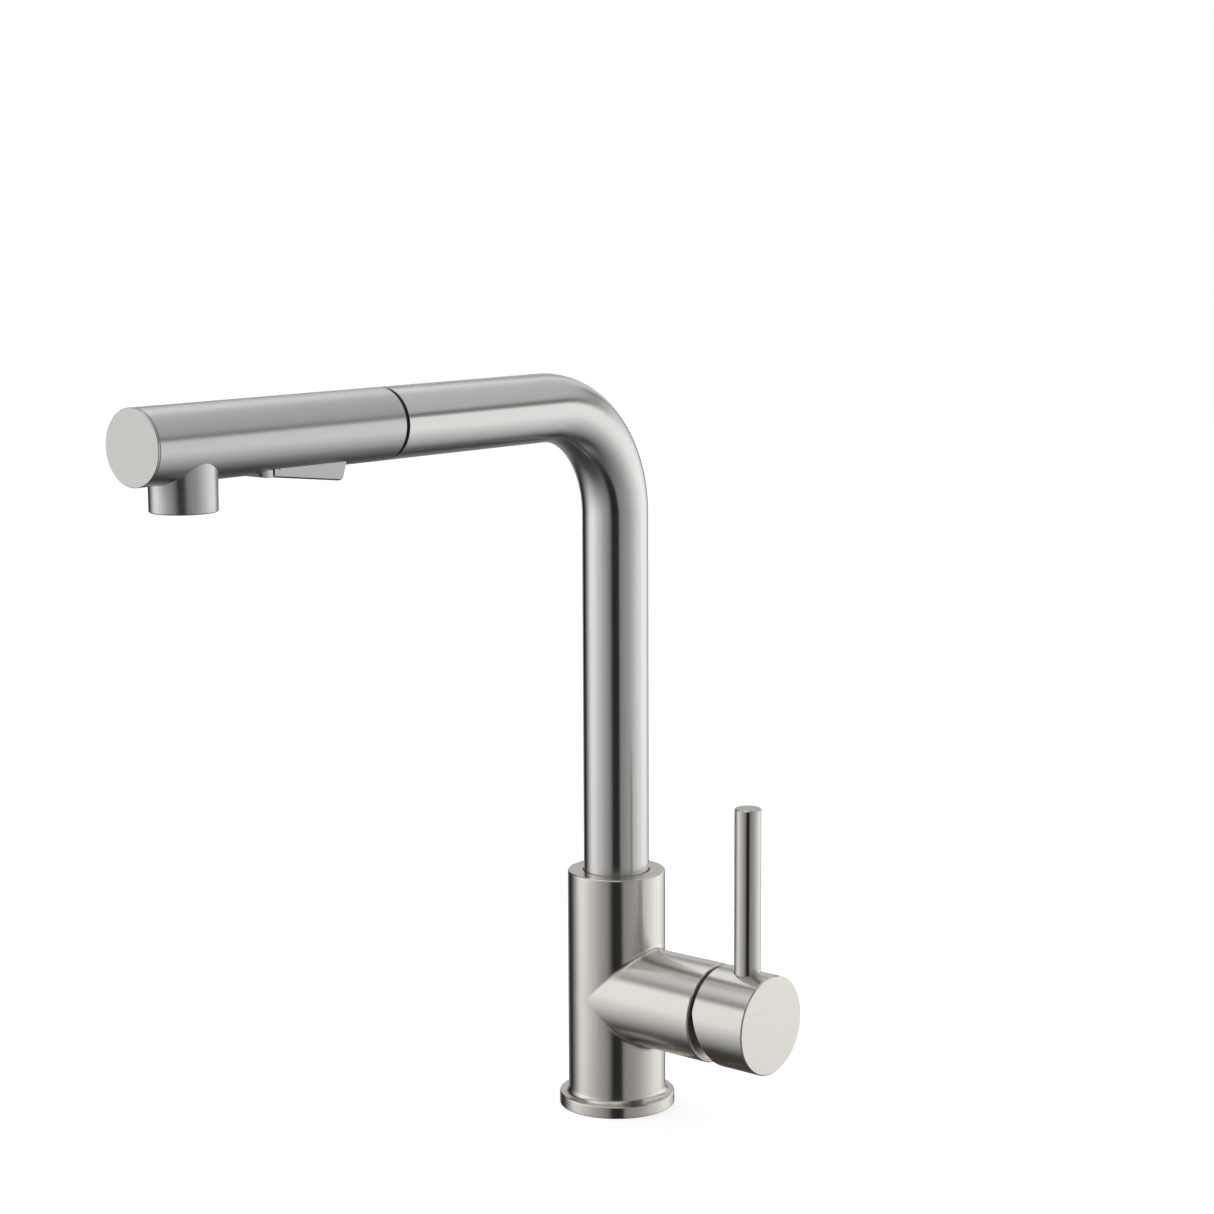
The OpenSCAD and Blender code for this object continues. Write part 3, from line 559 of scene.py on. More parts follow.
@dataclass(frozen=True)
class Braid(Finish):
    """Flat nylon bands plaited over a hose, each passing over one band and under the next.

    The bands stay the same width when the hose is pulled out, because they are counted along the
    spout's line and round the hose.

    Attributes:
        dark: Colour of the painted shade between the bands and where a band goes under the next, as sRGB
            hex.
        bands: Number of bands that wind each way round the hose.
        pitch: Distance along the hose from one band to the next, in mm.
        depth: Thickness of a band, in mm.
        relief: How strongly that thickness shows, 0 to 1.
        dip: Share of its height, and of its painted brightness, that a band keeps where it goes under the
            next.
        crown_power: How round a band is across its width: 1 is a plain wave, and less is flatter.
        height: Height of the level run's centre.
        bend: Radius of the bend's centre line.
    """

    dark: str = "#17181A"
    bands: int = 12
    pitch: float = 3.2
    depth: float = 0.35
    relief: float = 0.9
    dip: float = 0.55
    crown_power: float = 0.6
    height: float = 0.0
    bend: float = 0.0

    def work(self, tree: Tree, shader: bpy.types.Node) -> None:
        """Plaits the bands as relief, with painted shade between them and where each goes under the next.

        Args:
            tree: The material's nodes.
            shader: Its surface shader.
        """
        coords = add(tree, "TexCoord")
        around = add(tree, "SeparateXYZ", None, {0: coords.outputs["UV"]})
        _, along = spout_line(tree, coords.outputs["Object"], self.height, self.bend)
        turn = add(tree, "Math", {"operation": "MULTIPLY"}, {0: around.outputs["X"], 1: float(self.bands)})
        rise = add(tree, "Math", {"operation": "MULTIPLY"}, {0: along, 1: 1 / (self.pitch * MM)})
        right = add(tree, "Math", {"operation": "ADD"}, {0: turn.outputs[0], 1: rise.outputs[0]})
        left = add(tree, "Math", {"operation": "SUBTRACT"}, {0: turn.outputs[0], 1: rise.outputs[0]})
        crowns = [self.crown(tree, way.outputs[0]) for way in (right, left)]
        cells = [add(tree, "Math", {"operation": "FLOOR"}, {0: way.outputs[0]}) for way in (right, left)]
        count = add(tree, "Math", {"operation": "ADD"}, {0: cells[0].outputs[0], 1: cells[1].outputs[0]})
        odd = add(tree, "Math", {"operation": "FLOORED_MODULO"}, {0: count.outputs[0], 1: 2.0})
        width = add(tree, "Mix", {"data_type": "FLOAT"},
                    {"Factor": odd.outputs[0], 2: crowns[0], 3: crowns[1]})
        length = add(tree, "Mix", {"data_type": "FLOAT"},
                     {"Factor": odd.outputs[0], 2: crowns[1], 3: crowns[0]})
        arch = add(tree, "MapRange", None, {"Value": length.outputs[0], "To Min": self.dip, "To Max": 1.0})
        plait = add(tree, "Math", {"operation": "MULTIPLY"}, {0: width.outputs[0], 1: arch.outputs[0]})
        # painted shade: the colour darkens with the plait's height, towards each band's edges and where it
        # dips under the next
        shade = add(tree, "Mix", {"data_type": "RGBA"},
                    {"Factor": plait.outputs[0], 6: linear(self.dark), 7: linear(self.colour)})
        tree.links.new(shade.outputs[2], shader.inputs["Base Color"])
        bump = add(tree, "Bump", None,
                   {"Strength": self.relief, "Distance": self.depth * MM, "Height": plait.outputs[0]})
        tree.links.new(bump.outputs[0], shader.inputs["Normal"])

    def crown(self, tree: Tree, way: Socket) -> Socket:
        """Rounds a band across its width.

        Args:
            tree: The material's nodes.
            way: Distance across the bands, in bands.

        Returns:
            The band's height, 0 at its edges and 1 in the middle.
        """
        half_turn = add(tree, "Math", {"operation": "MULTIPLY"}, {0: way, 1: math.pi})
        wave = add(tree, "Math", {"operation": "SINE"}, {0: half_turn.outputs[0]})
        size = add(tree, "Math", {"operation": "ABSOLUTE"}, {0: wave.outputs[0]})
        flat = add(tree, "Math", {"operation": "POWER"}, {0: size.outputs[0], 1: self.crown_power})
        return flat.outputs[0]


# Zinc and brass castings under satin nickel, brushed by belt: soft stripes that run along each part
NICKEL_CAP = Brushed("brushed_nickel_cap", "#DCD9D3", 0.22, 1.0, lay=Lay.VALVE)
NICKEL_DISC = Brushed("brushed_nickel_disc", "#C3C2C0", 0.36, 1.0, lay=Lay.LEVEL, spread=0.5, mark=0.5)
NICKEL_TRIGGER = Brushed("brushed_nickel_trigger", "#BFBEBD", 0.34, 1.0, lay=Lay.LEVEL, mark=0.6)
# The lever is drawn bar, so its stripes are the narrowest
NICKEL_LEVER = Brushed("brushed_nickel_lever", "#D0CDC8", 0.2, 1.0, mark=0.2)
# Turned brass, unplated where it is out of sight: a warm yellow with bright rings from the tool
BRASS_UPRIGHT = Brushed("turned_brass_upright", "#D3B678", 0.28, 1.0, mark=0.6)
BRASS_VALVE = Brushed("turned_brass_valve", "#D3B678", 0.28, 1.0, lay=Lay.VALVE, mark=0.6)
BRASS_LEVEL = Brushed("turned_brass_level", "#D3B678", 0.28, 1.0, lay=Lay.LEVEL, mark=0.6)
# Stainless steel, rolled or drawn and left bare: cooler and darker than nickel, with a plain gloss
STAINLESS = Brushed("bare_stainless_steel", "#C9C9C9", 0.27, 1.0, spread=0.3, mark=0.3)
# Pressed nitrile rubber: nearly black and dull, with a soft broad highlight
RUBBER = Moulded("pressed_nitrile_rubber", "#1E1E1E", 0.72)
# Silicone rubber for the spray nubs: dark grey and a little glossier than nitrile
SILICONE = Moulded("moulded_silicone", "#3A3B3D", 0.55, grain=0.4)
# ABS from a spark eroded mould: black with a fine even grain
BLACK_ABS = Moulded("moulded_black_abs", "#1C1C1D", 0.42)
# Acetal, the usual resin for valve cages: grey, slightly waxy
GREY_ACETAL = Moulded("moulded_grey_acetal", "#8C8E92", 0.36)
# Moulded nylon for the bushes and small valve parts: off-white and dry, between gloss and dull
WHITE_NYLON = Moulded("moulded_white_nylon", "#E3E1DA", 0.4)
# Alumina, fired and lapped flat: clean white with a near mirror face
CERAMIC = Moulded("lapped_alumina", "#F0EEE8", 0.14, grain=0.3, depth=0.002)


# ---------------------------------------------------------------- the faucet


@dataclass
class Body:
    """The post on the counter, with the valve's housing on its side and the bushes for the spout.

    Attributes:
        valve_height: Height of the housing's axis.
    """

    valve_height: float = 53.5 * MM

    def build(self) -> None:
        """Dresses the post and what the spout turns in."""
        # the same nickel over a brass casting, with the brushing turned where the housing branches off
        nickel = JoinedPost("brushed_nickel_post", "#DDD9D3", 0.22, 1.0, mark=0.2, edge=0.8,
                            valve_height=self.valve_height)
        nickel.cover("body")
        WHITE_NYLON.cover("upper_bush", "lower_bush")
        RUBBER.cover("friction_ring")
        STAINLESS.cover("bush_circlip", "stop_screw")


@dataclass
class Mounting:
    """What clamps the faucet to the counter: a gasket above it, and a threaded shank and nut below.

    Attributes:
        shank: Outside radius of the shank's thread.
        bore: Radius of the shank's bore.
        top: Where the shank ends inside the post.
        foot: Where it ends below the counter.
        pitch: The thread's pitch.
        depth: The thread's depth.
        lead: Length of the chamfer that starts the nut.
        shoulder: Where the thread runs out under the post.
        sides: Number of faces round the shank.
        seam: Gap below which two corners of its mesh are one.
    """

    shank: float = 17.0 * MM
    bore: float = 14.5 * MM
    top: float = 10.0 * MM
    foot: float = -58.0 * MM
    pitch: float = 1.5 * MM
    depth: float = 0.92 * MM
    lead: float = 1.0 * MM
    shoulder: float = -1.5 * MM
    sides: int = 72
    seam: float = 0.001 * MM

    def build(self) -> None:
        """Cuts the thread and dresses the parts that it clamps."""
        self.thread()
        RUBBER.cover("deck_gasket", "rubber_washer")
        STAINLESS.cover("steel_washer")
        BRASS_UPRIGHT.cover("mounting_nut")

    def thread(self) -> None:
        """Makes the shank with its real thread in place of the plain one."""
        # shares of the pitch: a flat crest, a flank down, a flat root, and a flank up to the next crest
        crest, flank, root = 1 / 8, 5 / 16, 1 / 4
        profile = ((0.0, 0.0), (crest, 0.0), (crest + flank, self.depth), (crest + flank + root, self.depth))
        turns = math.ceil((self.shoulder - self.foot) / self.pitch) + 2
        rows = turns * len(profile)
        verts: list[Point] = []
        for row in range(rows):
            share, cut = profile[row % len(profile)]
            for side in range(self.sides):
                turn = side / self.sides
                rise = self.foot + self.pitch * (row // len(profile) + share + turn - 1)
                z = min(max(rise, self.foot), self.shoulder)
                radius = min(self.shank - cut, self.shank - self.lead + z - self.foot,
                             self.shank - self.depth + self.shoulder - z)
                verts.append(self.corner(radius, turn, z))
        faces: list[Face] = []
        for row in range(rows - len(profile) - 1):
            for side in range(self.sides):
                here = row * self.sides + side
                beside = here + 1 if side + 1 < self.sides else (row + len(profile)) * self.sides
                faces.append((here, beside, beside + self.sides, here + self.sides))
        loops: list[int] = []
        for radius, z in ((self.shank, self.shoulder), (self.shank, self.top), (self.bore, self.top),
                          (self.bore, self.foot)):
            loops.append(len(verts))
            verts += [self.corner(radius, side / self.sides, z) for side in range(self.sides)]
        last_row = (rows - len(profile) - 1) * self.sides
        for low, high in zip([last_row, *loops], [*loops, 0], strict=True):
            faces += band(low, high, self.sides)
        shank = new_object("threaded_shank", verts, faces, smooth=False)
        weld(shank, self.seam)
        BRASS_UPRIGHT.coat(shank)
        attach(shank, "body")
        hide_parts("mounting_shank")

    def corner(self, radius: float, turn: float, z: float) -> Point:
        """Returns the point at that radius and height, that share of a turn round the shank."""
        return radius * math.cos(math.tau * turn), radius * math.sin(math.tau * turn), z


@dataclass
class Spout:
    """The bent tube, the collar that it turns on, and the bush that the spray head docks in.

    Attributes:
        height: Height of the level run's centre.
        bend: Radius of the bend's centre line.
    """

    height: float = SPOUT_HEIGHT
    bend: float = SPOUT_BEND

    def build(self) -> None:
        """Dresses the tube, its collar and its bush."""
        # drawn tube, bent and polished before plating: the smoothest and coolest of the nickel
        nickel = BentTube("polished_nickel_tube", "#D5D4D2", 0.22, 1.0, mark=0.12,
                          height=self.height, bend=self.bend)
        nickel.cover("spout_tube")
        BRASS_UPRIGHT.cover("spout_collar")
        BLACK_ABS.cover("dock_bush")


@dataclass
class Hose:
    """The pull out hose: rubber in a nylon braid, led up the spout and along it to the head.

    Attributes:
        height: Height of the level run's centre.
        bend: Radius of the bend's centre line.
        radius: The hose's radius.
        foot: Where it starts, below the shank.
        tip: Where it ends in the head's nut.
        give: How far out along the spout it starts to slide when the head is pulled; not used.
        step: Distance between the rings of its mesh.
        sides: Number of faces round it.
        sleeve: Radius of the crimped sleeves at its ends.
        sleeve_length: Their length.
        slack: Gap between the braid and a sleeve.
        crimps: Where each crimp starts, as a share of a sleeve's length.
        crimp_width: The width of a crimp, as such a share.
        crimp_depth: Its depth.
        lip: How far a sleeve's open end is turned in.
    """

    height: float = SPOUT_HEIGHT
    bend: float = SPOUT_BEND
    radius: float = 5.5 * MM
    foot: float = -64.0 * MM
    tip: float = -129.7 * MM
    give: float = -20.0 * MM
    step: float = 2.0 * MM
    sides: int = 24
    sleeve: float = 6.4 * MM
    sleeve_length: float = 13.0 * MM
    slack: float = 0.05 * MM
    crimps: tuple[float, ...] = (0.04, 0.38, 0.72)
    crimp_width: float = 0.2
    crimp_depth: float = 0.6 * MM
    lip: float = 0.3 * MM

    def build(self) -> None:
        """Makes the hose and its sleeves, and dresses its fittings."""
        self.braided_hose()
        self.crimped_sleeve("lower_hose_sleeve", "spout", Vector((0, 0, self.foot)), Vector((0, 0, 1)))
        self.crimped_sleeve("upper_hose_sleeve", "spray_head", Vector((0, self.tip, self.height)),
                            Vector((0, 1, 0)))
        BRASS_UPRIGHT.cover("hose_fitting")
        BRASS_LEVEL.cover("hose_nut")

    def route(self) -> list[tuple[Vector, Vector]]:
        """Follows the hose from its foot, up the post and round the bend, to its tip.

        Returns:
            The centre line's points, each with the direction away from the bend's centre.
        """
        knee = self.height - self.bend
        climb = math.ceil((knee - self.foot) / self.step)
        line = [(Vector((0, 0, self.foot + (knee - self.foot) * i / climb)), Vector((0, 1, 0)))
                for i in range(climb)]
        corner = math.ceil(math.pi / 2 * self.bend / self.step)
        for i in range(corner):
            turn = math.pi / 2 * i / corner
            away = Vector((0, math.cos(turn), math.sin(turn)))
            line.append((Vector((0, -self.bend, knee)) + self.bend * away, away))
        level = math.ceil((-self.bend - self.tip) / self.step)
        line += [(Vector((0, -self.bend + (self.tip + self.bend) * i / level, self.height)),
                  Vector((0, 0, 1))) for i in range(level + 1)]
        return line

    def braided_hose(self) -> None:
        """Makes the hose in place of the plain one."""
        verts: list[Vector] = []
        line = self.route()
        for centre, away in line:
            verts += ring(centre, self.radius, Vector((1, 0, 0)), away, self.sides)
        last = (len(line) - 1) * self.sides
        faces: list[Face] = []
        for low in range(0, last, self.sides):
            faces += band(low, low + self.sides, self.sides)
        walls = len(faces)
        faces.append(tuple(reversed(range(self.sides))))
        faces.append(tuple(range(last, last + self.sides)))
        hose = new_object("braided_hose", verts, faces)
        lay = hose.data.uv_layers.new(name="round_and_along")
        for face in hose.data.polygons[:walls]:
            row, side = divmod(face.index, self.sides)
            for corner, (du, dv) in zip(face.loop_indices, ((0, 0), (1, 0), (1, 1), (0, 1)), strict=True):
                lay.data[corner].uv = ((side + du) / self.sides, (row + dv) / len(line))
        # plaited nylon: grey bands, with painted shade in the hollows between them
        Braid("plaited_grey_nylon", "#7C7E82", 0.5, height=self.height, bend=self.bend).coat(hose)
        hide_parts("pull_out_hose")
        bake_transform(hose)

    def crimped_sleeve(self, name: str, body: str, end: Vector, back: Vector) -> None:
        """Makes the stainless sleeve that clamps the braid at one end of the hose.

        Args:
            name: The piece's name.
            body: The body that it moves with.
            end: The hose's end.
            back: Direction from there along the hose.
        """
        outside = [(0.0, 0.0)]
        for start in self.crimps:
            middle, stop = start + self.crimp_width / 2, start + self.crimp_width
            outside += [(start, 0.0), (middle, self.crimp_depth), (stop, 0.0)]
        outside.append((1.0, self.lip))
        inside = self.radius + self.slack
        profile = [(self.sleeve - cut, share * self.sleeve_length) for share, cut in outside]
        profile += [(inside, self.sleeve_length), (inside, 0.0)]
        across = Vector((1, 0, 0))
        verts: list[Vector] = []
        for radius, along in profile:
            verts += ring(end + back * along, radius, across, back.cross(across), self.sides)
        faces: list[Face] = []
        for low in range(0, len(verts), self.sides):
            faces += band(low, (low + self.sides) % len(verts), self.sides)
        sleeve = new_object(name, verts, faces)
        STAINLESS.coat(sleeve)
        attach(sleeve, body)


@dataclass
class SprayHead:
    """The head that pulls out of the spout: shell, outlet, trigger and the waterway inside.

    Attributes:
        height: Height of the shell's axis.
        tube: Just over the shell's radius, where the outlet's own brushing starts.
        coil: Centre of the return spring's foot, on the trigger's back.
        coil_top: Height of the ledge that the spring pushes against.
        coil_radius: Radius of the spring's centre line.
        wire: Radius of its wire.
        turns: Number of its turns.
        closed: How much of a turn lies flat at each end.
        pressed: Share of its length that is left when the trigger is fully pressed; not used.
        per_turn: Number of rings of its mesh in a turn.
        sides: Number of faces round the wire.
    """

    height: float = SPOUT_HEIGHT
    tube: float = 15.2 * MM
    coil: Point = (0.0, -185.2 * MM, 317.05 * MM)
    coil_top: float = 322.03 * MM
    coil_radius: float = 2.4 * MM
    wire: float = 0.25 * MM
    turns: float = 3.5
    closed: float = 0.75
    pressed: float = 0.35
    per_turn: int = 32
    sides: int = 10

    def build(self) -> None:
        """Dresses the shell, the trigger, the outlet's face and the waterway."""
        self.coil_spring()
        # the same nickel over moulded ABS, brushed with a coarser belt: fine rings show round it
        nickel = BranchedHead("brushed_nickel_head", "#D0CFCE", 0.33, 1.0, scratch=0.5, mark=0.45,
                              height=self.height, tube=self.tube)
        nickel.cover("head_shell")
        NICKEL_DISC.cover("head_end_cap")
        NICKEL_TRIGGER.cover("trigger")
        STAINLESS.cover("trigger_pin")
        BLACK_ABS.cover("dock_collar", "spray_face")
        SILICONE.cover("spray_mat")
        RUBBER.cover("filter_washer")
        GREY_ACETAL.cover("waterway_body", "spray_housing", "aerator_insert")
        WHITE_NYLON.cover("check_valve")
        BRASS_UPRIGHT.cover("diverter_plunger")

    def coil_spring(self) -> None:
        """Winds the trigger's return spring, with closed ends."""
        wire = 2 * self.wire
        length = self.coil_top - self.coil[2] - wire
        steps = round(self.turns * self.per_turn)
        verts: list[Vector] = []
        for step in range(steps + 1):
            count = step / self.per_turn
            open_part = min(max((count - self.closed) / (self.turns - 2 * self.closed), 0.0), 1.0)
            rise = self.wire + wire * count + (length - wire * self.turns) * open_part
            out = Vector((math.cos(math.tau * count), math.sin(math.tau * count), 0.0))
            centre = Vector(self.coil) + self.coil_radius * out + Vector((0.0, 0.0, rise))
            verts += ring(centre, self.wire, out, Vector((0.0, 0.0, 1.0)), self.sides)
        last = steps * self.sides
        faces: list[Face] = []
        for low in range(0, last, self.sides):
            # the wire's rings turn the other way than the band expects, so its faces are turned over
            faces += [(a, d, c, b) for a, b, c, d in band(low, low + self.sides, self.sides)]
        faces.append(tuple(range(self.sides)))
        faces.append(tuple(reversed(range(last, last + self.sides))))
        spring = new_object("coil_spring", verts, faces)
        STAINLESS.coat(spring)
        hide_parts("trigger_spring")
        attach(spring, "spray_head")
        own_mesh(spring)


@dataclass
class Valve:
    """The mixing cartridge in the housing, with the nut and the ring that hold it."""

    def build(self) -> None:
        """Dresses the manifold, the cartridge and its discs."""
        BRASS_VALVE.cover("valve_manifold", "cartridge_nut")
        RUBBER.cover("port_seals")
        GREY_ACETAL.cover("cartridge_base", "cartridge_shell")
        WHITE_NYLON.cover("spindle_guide", "disc_driver")
        CERAMIC.cover("fixed_disc", "moving_disc")
        STAINLESS.cover("pivot_pin")
        NICKEL_CAP.cover("dome_ring")


@dataclass
class Handle:
    """The cap over the valve, its lever, and the screw that ties them to the spindle."""

    def build(self) -> None:
        """Dresses the cap, the lever and what holds them."""
        NICKEL_CAP.cover("handle_cap")
        NICKEL_LEVER.cover("lever_rod")
        STAINLESS.cover("spindle", "handle_screw")
        BLACK_ABS.cover("handle_plug")


# ---------------------------------------------------------------- studio


@dataclass(frozen=True)
class Shade:
    """What hangs in the tent at one angle.

    Attributes:
        angle: Degrees round the faucet from the camera, more towards the camera's right.
        level: Brightness of the wall, where 1 is white paper in full light.
        foot: Elevation at which the wall has half given way to the dark table, in degrees.
        head: Elevation at which the wall ends and the gap below the ceiling starts, in degrees.
        sky: Brightness of the ceiling above it.
    """

    angle: float
    level: float
    foot: float
    head: float
    sky: float

    def colour(self) -> Colour:
        """Packs the four values into the channels of a colour ramp's stop."""
        return self.level, (self.foot + 90) / 180, (self.head + 90) / 180, self.sky


@dataclass(frozen=True)
class Lamp:
    """A square soft lamp over the counter.

    Attributes:
        name: Its name.
        place: Where it hangs.
        power: Its power, in watts.
        size: Length of its side.
        target: The point that it faces.
    """

    name: str
    place: Point
    power: float
    size: float = 1.4
    target: Point = (0.0, 0.0, 0.15)

    def hang(self) -> None:
        """Adds the lamp to the scene; reflections don't show it."""
        data = bpy.data.lights.new(self.name, "AREA")
        data.shape = "SQUARE"
        data.size = self.size
        data.energy = self.power
        lamp = bpy.data.objects.new(self.name, data)
        lamp.location = self.place
        aim = Vector(self.target) - Vector(self.place)
        lamp.rotation_euler = aim.to_track_quat("-Z", "Y").to_euler()
        lamp.visible_glossy = False
        bpy.context.scene.collection.objects.link(lamp)


@dataclass
class Studio:
    """The counter, the light tent, the lamps and the camera.

    Attributes:
        radius: Radius of the tent.
        height: Height of the tent's centre above the counter.
        rings: Number of rows of faces from its foot to its crown.
        sides: Number of faces round it.
        eye: The camera's place.
        yaw: Its turn from +Y towards -X, in degrees.
        pitch: Its tilt above the horizon, in degrees.
        roll: Its turn about its own view, in degrees.
        lens: Its focal length, in mm.
        sensor: The width of its sensor, in mm.
        sight: The nearest and the farthest distance that it sees.
        front: Direction from the faucet to the camera, in degrees from +X towards +Y.
        walls: What hangs in the tent, all the way round.
        gap: Brightness of the dark gap between the walls and the ceiling, at the camera's left and right.
        gap_width: Height of that gap, in degrees.
        head_fade: Height over which a wall fades into the gap, in degrees.
        sky_fade: How far each way the gap fades into the ceiling, in degrees.
        foot_fade: How far each way a wall fades into the table, in degrees.
        table: Brightness of the dark table.
        half: Half the counter's width.
        drop: How far the counter lies below the faucet's foot, so that they don't share a plane.
        paint: Brightness of the counter's paint.
        glow: Light that it adds to a view of it, which brings it up to the background.
        fill: Strength of the plain light from all round.
        lamps: The lamps that give the counter its shadow.
    """

    radius: float = 3.0
    height: float = 0.2
    rings: int = 48
    sides: int = 96
    eye: Point = (0.7725, -0.9358, 0.4213)
    yaw: float = 39.72
    pitch: float = -8.81
    roll: float = -0.23
    lens: float = 80.08
    sensor: float = 36.0
    sight: tuple[float, float] = (0.05, 60.0)
    front: float = -50.5
    walls: tuple[Shade, ...] = (
        Shade(-180, 0.64, -20, 20, 1.10), Shade(-162, 0.64, -22, 22, 1.10), Shade(-152, 0.18, -26, 32, 1.10),
        Shade(-146, 0.00, -30, 40, 1.14), Shade(-136, 0.00, -30, 46, 1.14), Shade(-124, 0.18, -31, 46, 1.10),
        Shade(-110, 0.68, -31, 36, 1.10), Shade(-98, 1.20, -31, 32, 1.10), Shade(-84, 1.24, -31, 29, 1.00),
        Shade(-66, 0.94, -31, 28, 0.86), Shade(-40, 0.53, -36, 26, 0.80), Shade(-20, 0.28, -46, 24, 0.76),
        Shade(-10, 0.02, -60, 24, 0.72), Shade(12, 0.02, -60, 20, 0.70), Shade(16, 0.30, -50, 18, 0.50),
        Shade(34, 0.39, -44, 16, 0.22), Shade(54, 0.53, -42, 14, 0.22), Shade(78, 0.88, -38, 12, 0.56),
        Shade(100, 1.18, -38, 10, 0.66), Shade(124, 1.32, -36, 12, 0.66), Shade(140, 1.06, -30, 16, 0.68),
        Shade(152, 0.86, -26, 16, 0.74), Shade(158, 0.10, -22, -6, 0.84), Shade(164, 0.10, -20, -6, 0.92),
        Shade(170, 0.62, -20, 20, 1.05), Shade(180, 0.64, -20, 20, 1.10),
    )
    gap: tuple[float, float] = (0.02, 0.2)
    gap_width: float = 12.0
    head_fade: float = 5.0
    sky_fade: float = 3.0
    foot_fade: float = 25.0
    table: float = 0.06
    half: float = 12.0
    drop: float = 0.2 * MM
    paint: float = 0.5
    glow: float = 0.7
    fill: float = 0.6
    lamps: tuple[Lamp, ...] = (
        Lamp("lamp_left", (-1.2, -1.3, 1.7), 14.0),
        Lamp("lamp_right", (1.6, 0.5, 1.9), 16.0),
    )

    def build(self) -> None:
        """Sets up everything that isn't the faucet."""
        self.counter()
        self.tent()
        self.backdrop()
        for lamp in self.lamps:
            lamp.hang()
        self.camera()

    def white_rays(self, tree: Tree) -> Socket:
        """Tells the rays that should see the white background from those that carry light.

        Args:
            tree: The nodes of the material or world.

        Returns:
            1 for camera, glossy and transmission rays, 0 for the rest.
        """
        rays = add(tree, "LightPath")
        some = add(tree, "Math", {"operation": "MAXIMUM"},
                   {0: rays.outputs["Is Camera Ray"], 1: rays.outputs["Is Glossy Ray"]})
        every = add(tree, "Math", {"operation": "MAXIMUM"},
                    {0: some.outputs[0], 1: rays.outputs["Is Transmission Ray"]})
        return every.outputs[0]

    def counter(self) -> None:
        """Lays the counter: a pale satin sheet that keeps the faucet's soft shadow."""
        signs = ((-1, -1), (1, -1), (1, 1), (-1, 1))
        corners = [(x * self.half, y * self.half, -self.drop) for x, y in signs]
        sheet = new_object("counter", corners, [(0, 1, 2, 3)])
        mat = bpy.data.materials.new("white_counter")
        tree = blank(mat)
        paint = add(tree, "BsdfDiffuse", None, {"Color": grey(self.paint)})
        glow = add(tree, "Math", {"operation": "MULTIPLY"}, {0: self.white_rays(tree), 1: self.glow})
        light = add(tree, "Emission", None, {"Color": grey(1.0), "Strength": glow.outputs[0]})
        both = add(tree, "AddShader", None, {0: paint.outputs[0], 1: light.outputs[0]})
        add(tree, "OutputMaterial", None, {"Surface": both.outputs[0]})
        sheet.data.materials.append(mat)
        sheet.visible_glossy = False

    def tent(self) -> None:
        """Hangs the tent: graded paper walls, a ceiling and a dark table, which only reflections show."""
        across, along, up = (Vector(way) for way in ((1, 0, 0), (0, 1, 0), (0, 0, 1)))
        verts = [-self.radius * up]
        for row in range(1, self.rings):
            tilt = math.pi * (row / self.rings - 0.5)
            centre = self.radius * math.sin(tilt) * up
            verts += ring(centre, self.radius * math.cos(tilt), across, along, self.sides)
        verts.append(self.radius * up)
        last = 1 + (self.rings - 2) * self.sides
        faces: list[Face] = []
        for low in range(1, last, self.sides):
            faces += band(low, low + self.sides, self.sides)
        for side in range(self.sides):
            after = (side + 1) % self.sides
            faces += [(0, 1 + after, 1 + side), (last + side, last + after, len(verts) - 1)]
        shell = new_object("light_tent", verts, faces)
        shell.location = (0.0, 0.0, self.height)
        shell.data.materials.append(self.tent_paper())
        for kind in ("camera", "diffuse", "transmission", "volume_scatter", "shadow"):
            setattr(shell, "visible_" + kind, False)

    def tent_paper(self) -> bpy.types.Material:
        """Builds the tent's paper, lit unevenly as by lamps behind it.

        Returns:
            The material.
        """
        mat = bpy.data.materials.new("tent_paper")
        tree = blank(mat)
        coords = add(tree, "TexCoord")
        place = add(tree, "VectorRotate", {"rotation_type": "Z_AXIS"},
                    {"Vector": coords.outputs["Object"], "Angle": math.radians(-self.front)})
        unit = add(tree, "VectorMath", {"operation": "NORMALIZE"}, {0: place.outputs[0]})
        parts = add(tree, "SeparateXYZ", None, {0: unit.outputs[0]})
        turn = add(tree, "Math", {"operation": "ARCTAN2"}, {0: parts.outputs["Y"], 1: parts.outputs["X"]})
        share = add(tree, "MapRange", None,
                    {"Value": turn.outputs[0], "From Min": -math.pi, "From Max": math.pi})
        ramp = add(tree, "ValToRGB", None, {"Fac": share.outputs[0]})
        stops = ramp.color_ramp.elements
        for number, shade in enumerate(self.walls):
            spot = (shade.angle + 180) / 360
            stop = stops[number] if number < len(stops) else stops.new(spot)
            stop.position = spot
        for stop, shade in zip(stops, self.walls, strict=True):
            stop.color = shade.colour()
        wall = add(tree, "SeparateColor", None, {0: ramp.outputs["Color"]})
        slope = add(tree, "Math", {"operation": "ARCSINE"}, {0: parts.outputs["Z"]})
        rise = add(tree, "MapRange", None,
                   {"Value": slope.outputs[0], "From Min": -math.pi / 2, "From Max": math.pi / 2})
        past_head = add(tree, "Math", {"operation": "SUBTRACT"}, {0: rise.outputs[0], 1: wall.outputs[2]})
        past_foot = add(tree, "Math", {"operation": "SUBTRACT"}, {0: wall.outputs[1], 1: rise.outputs[0]})
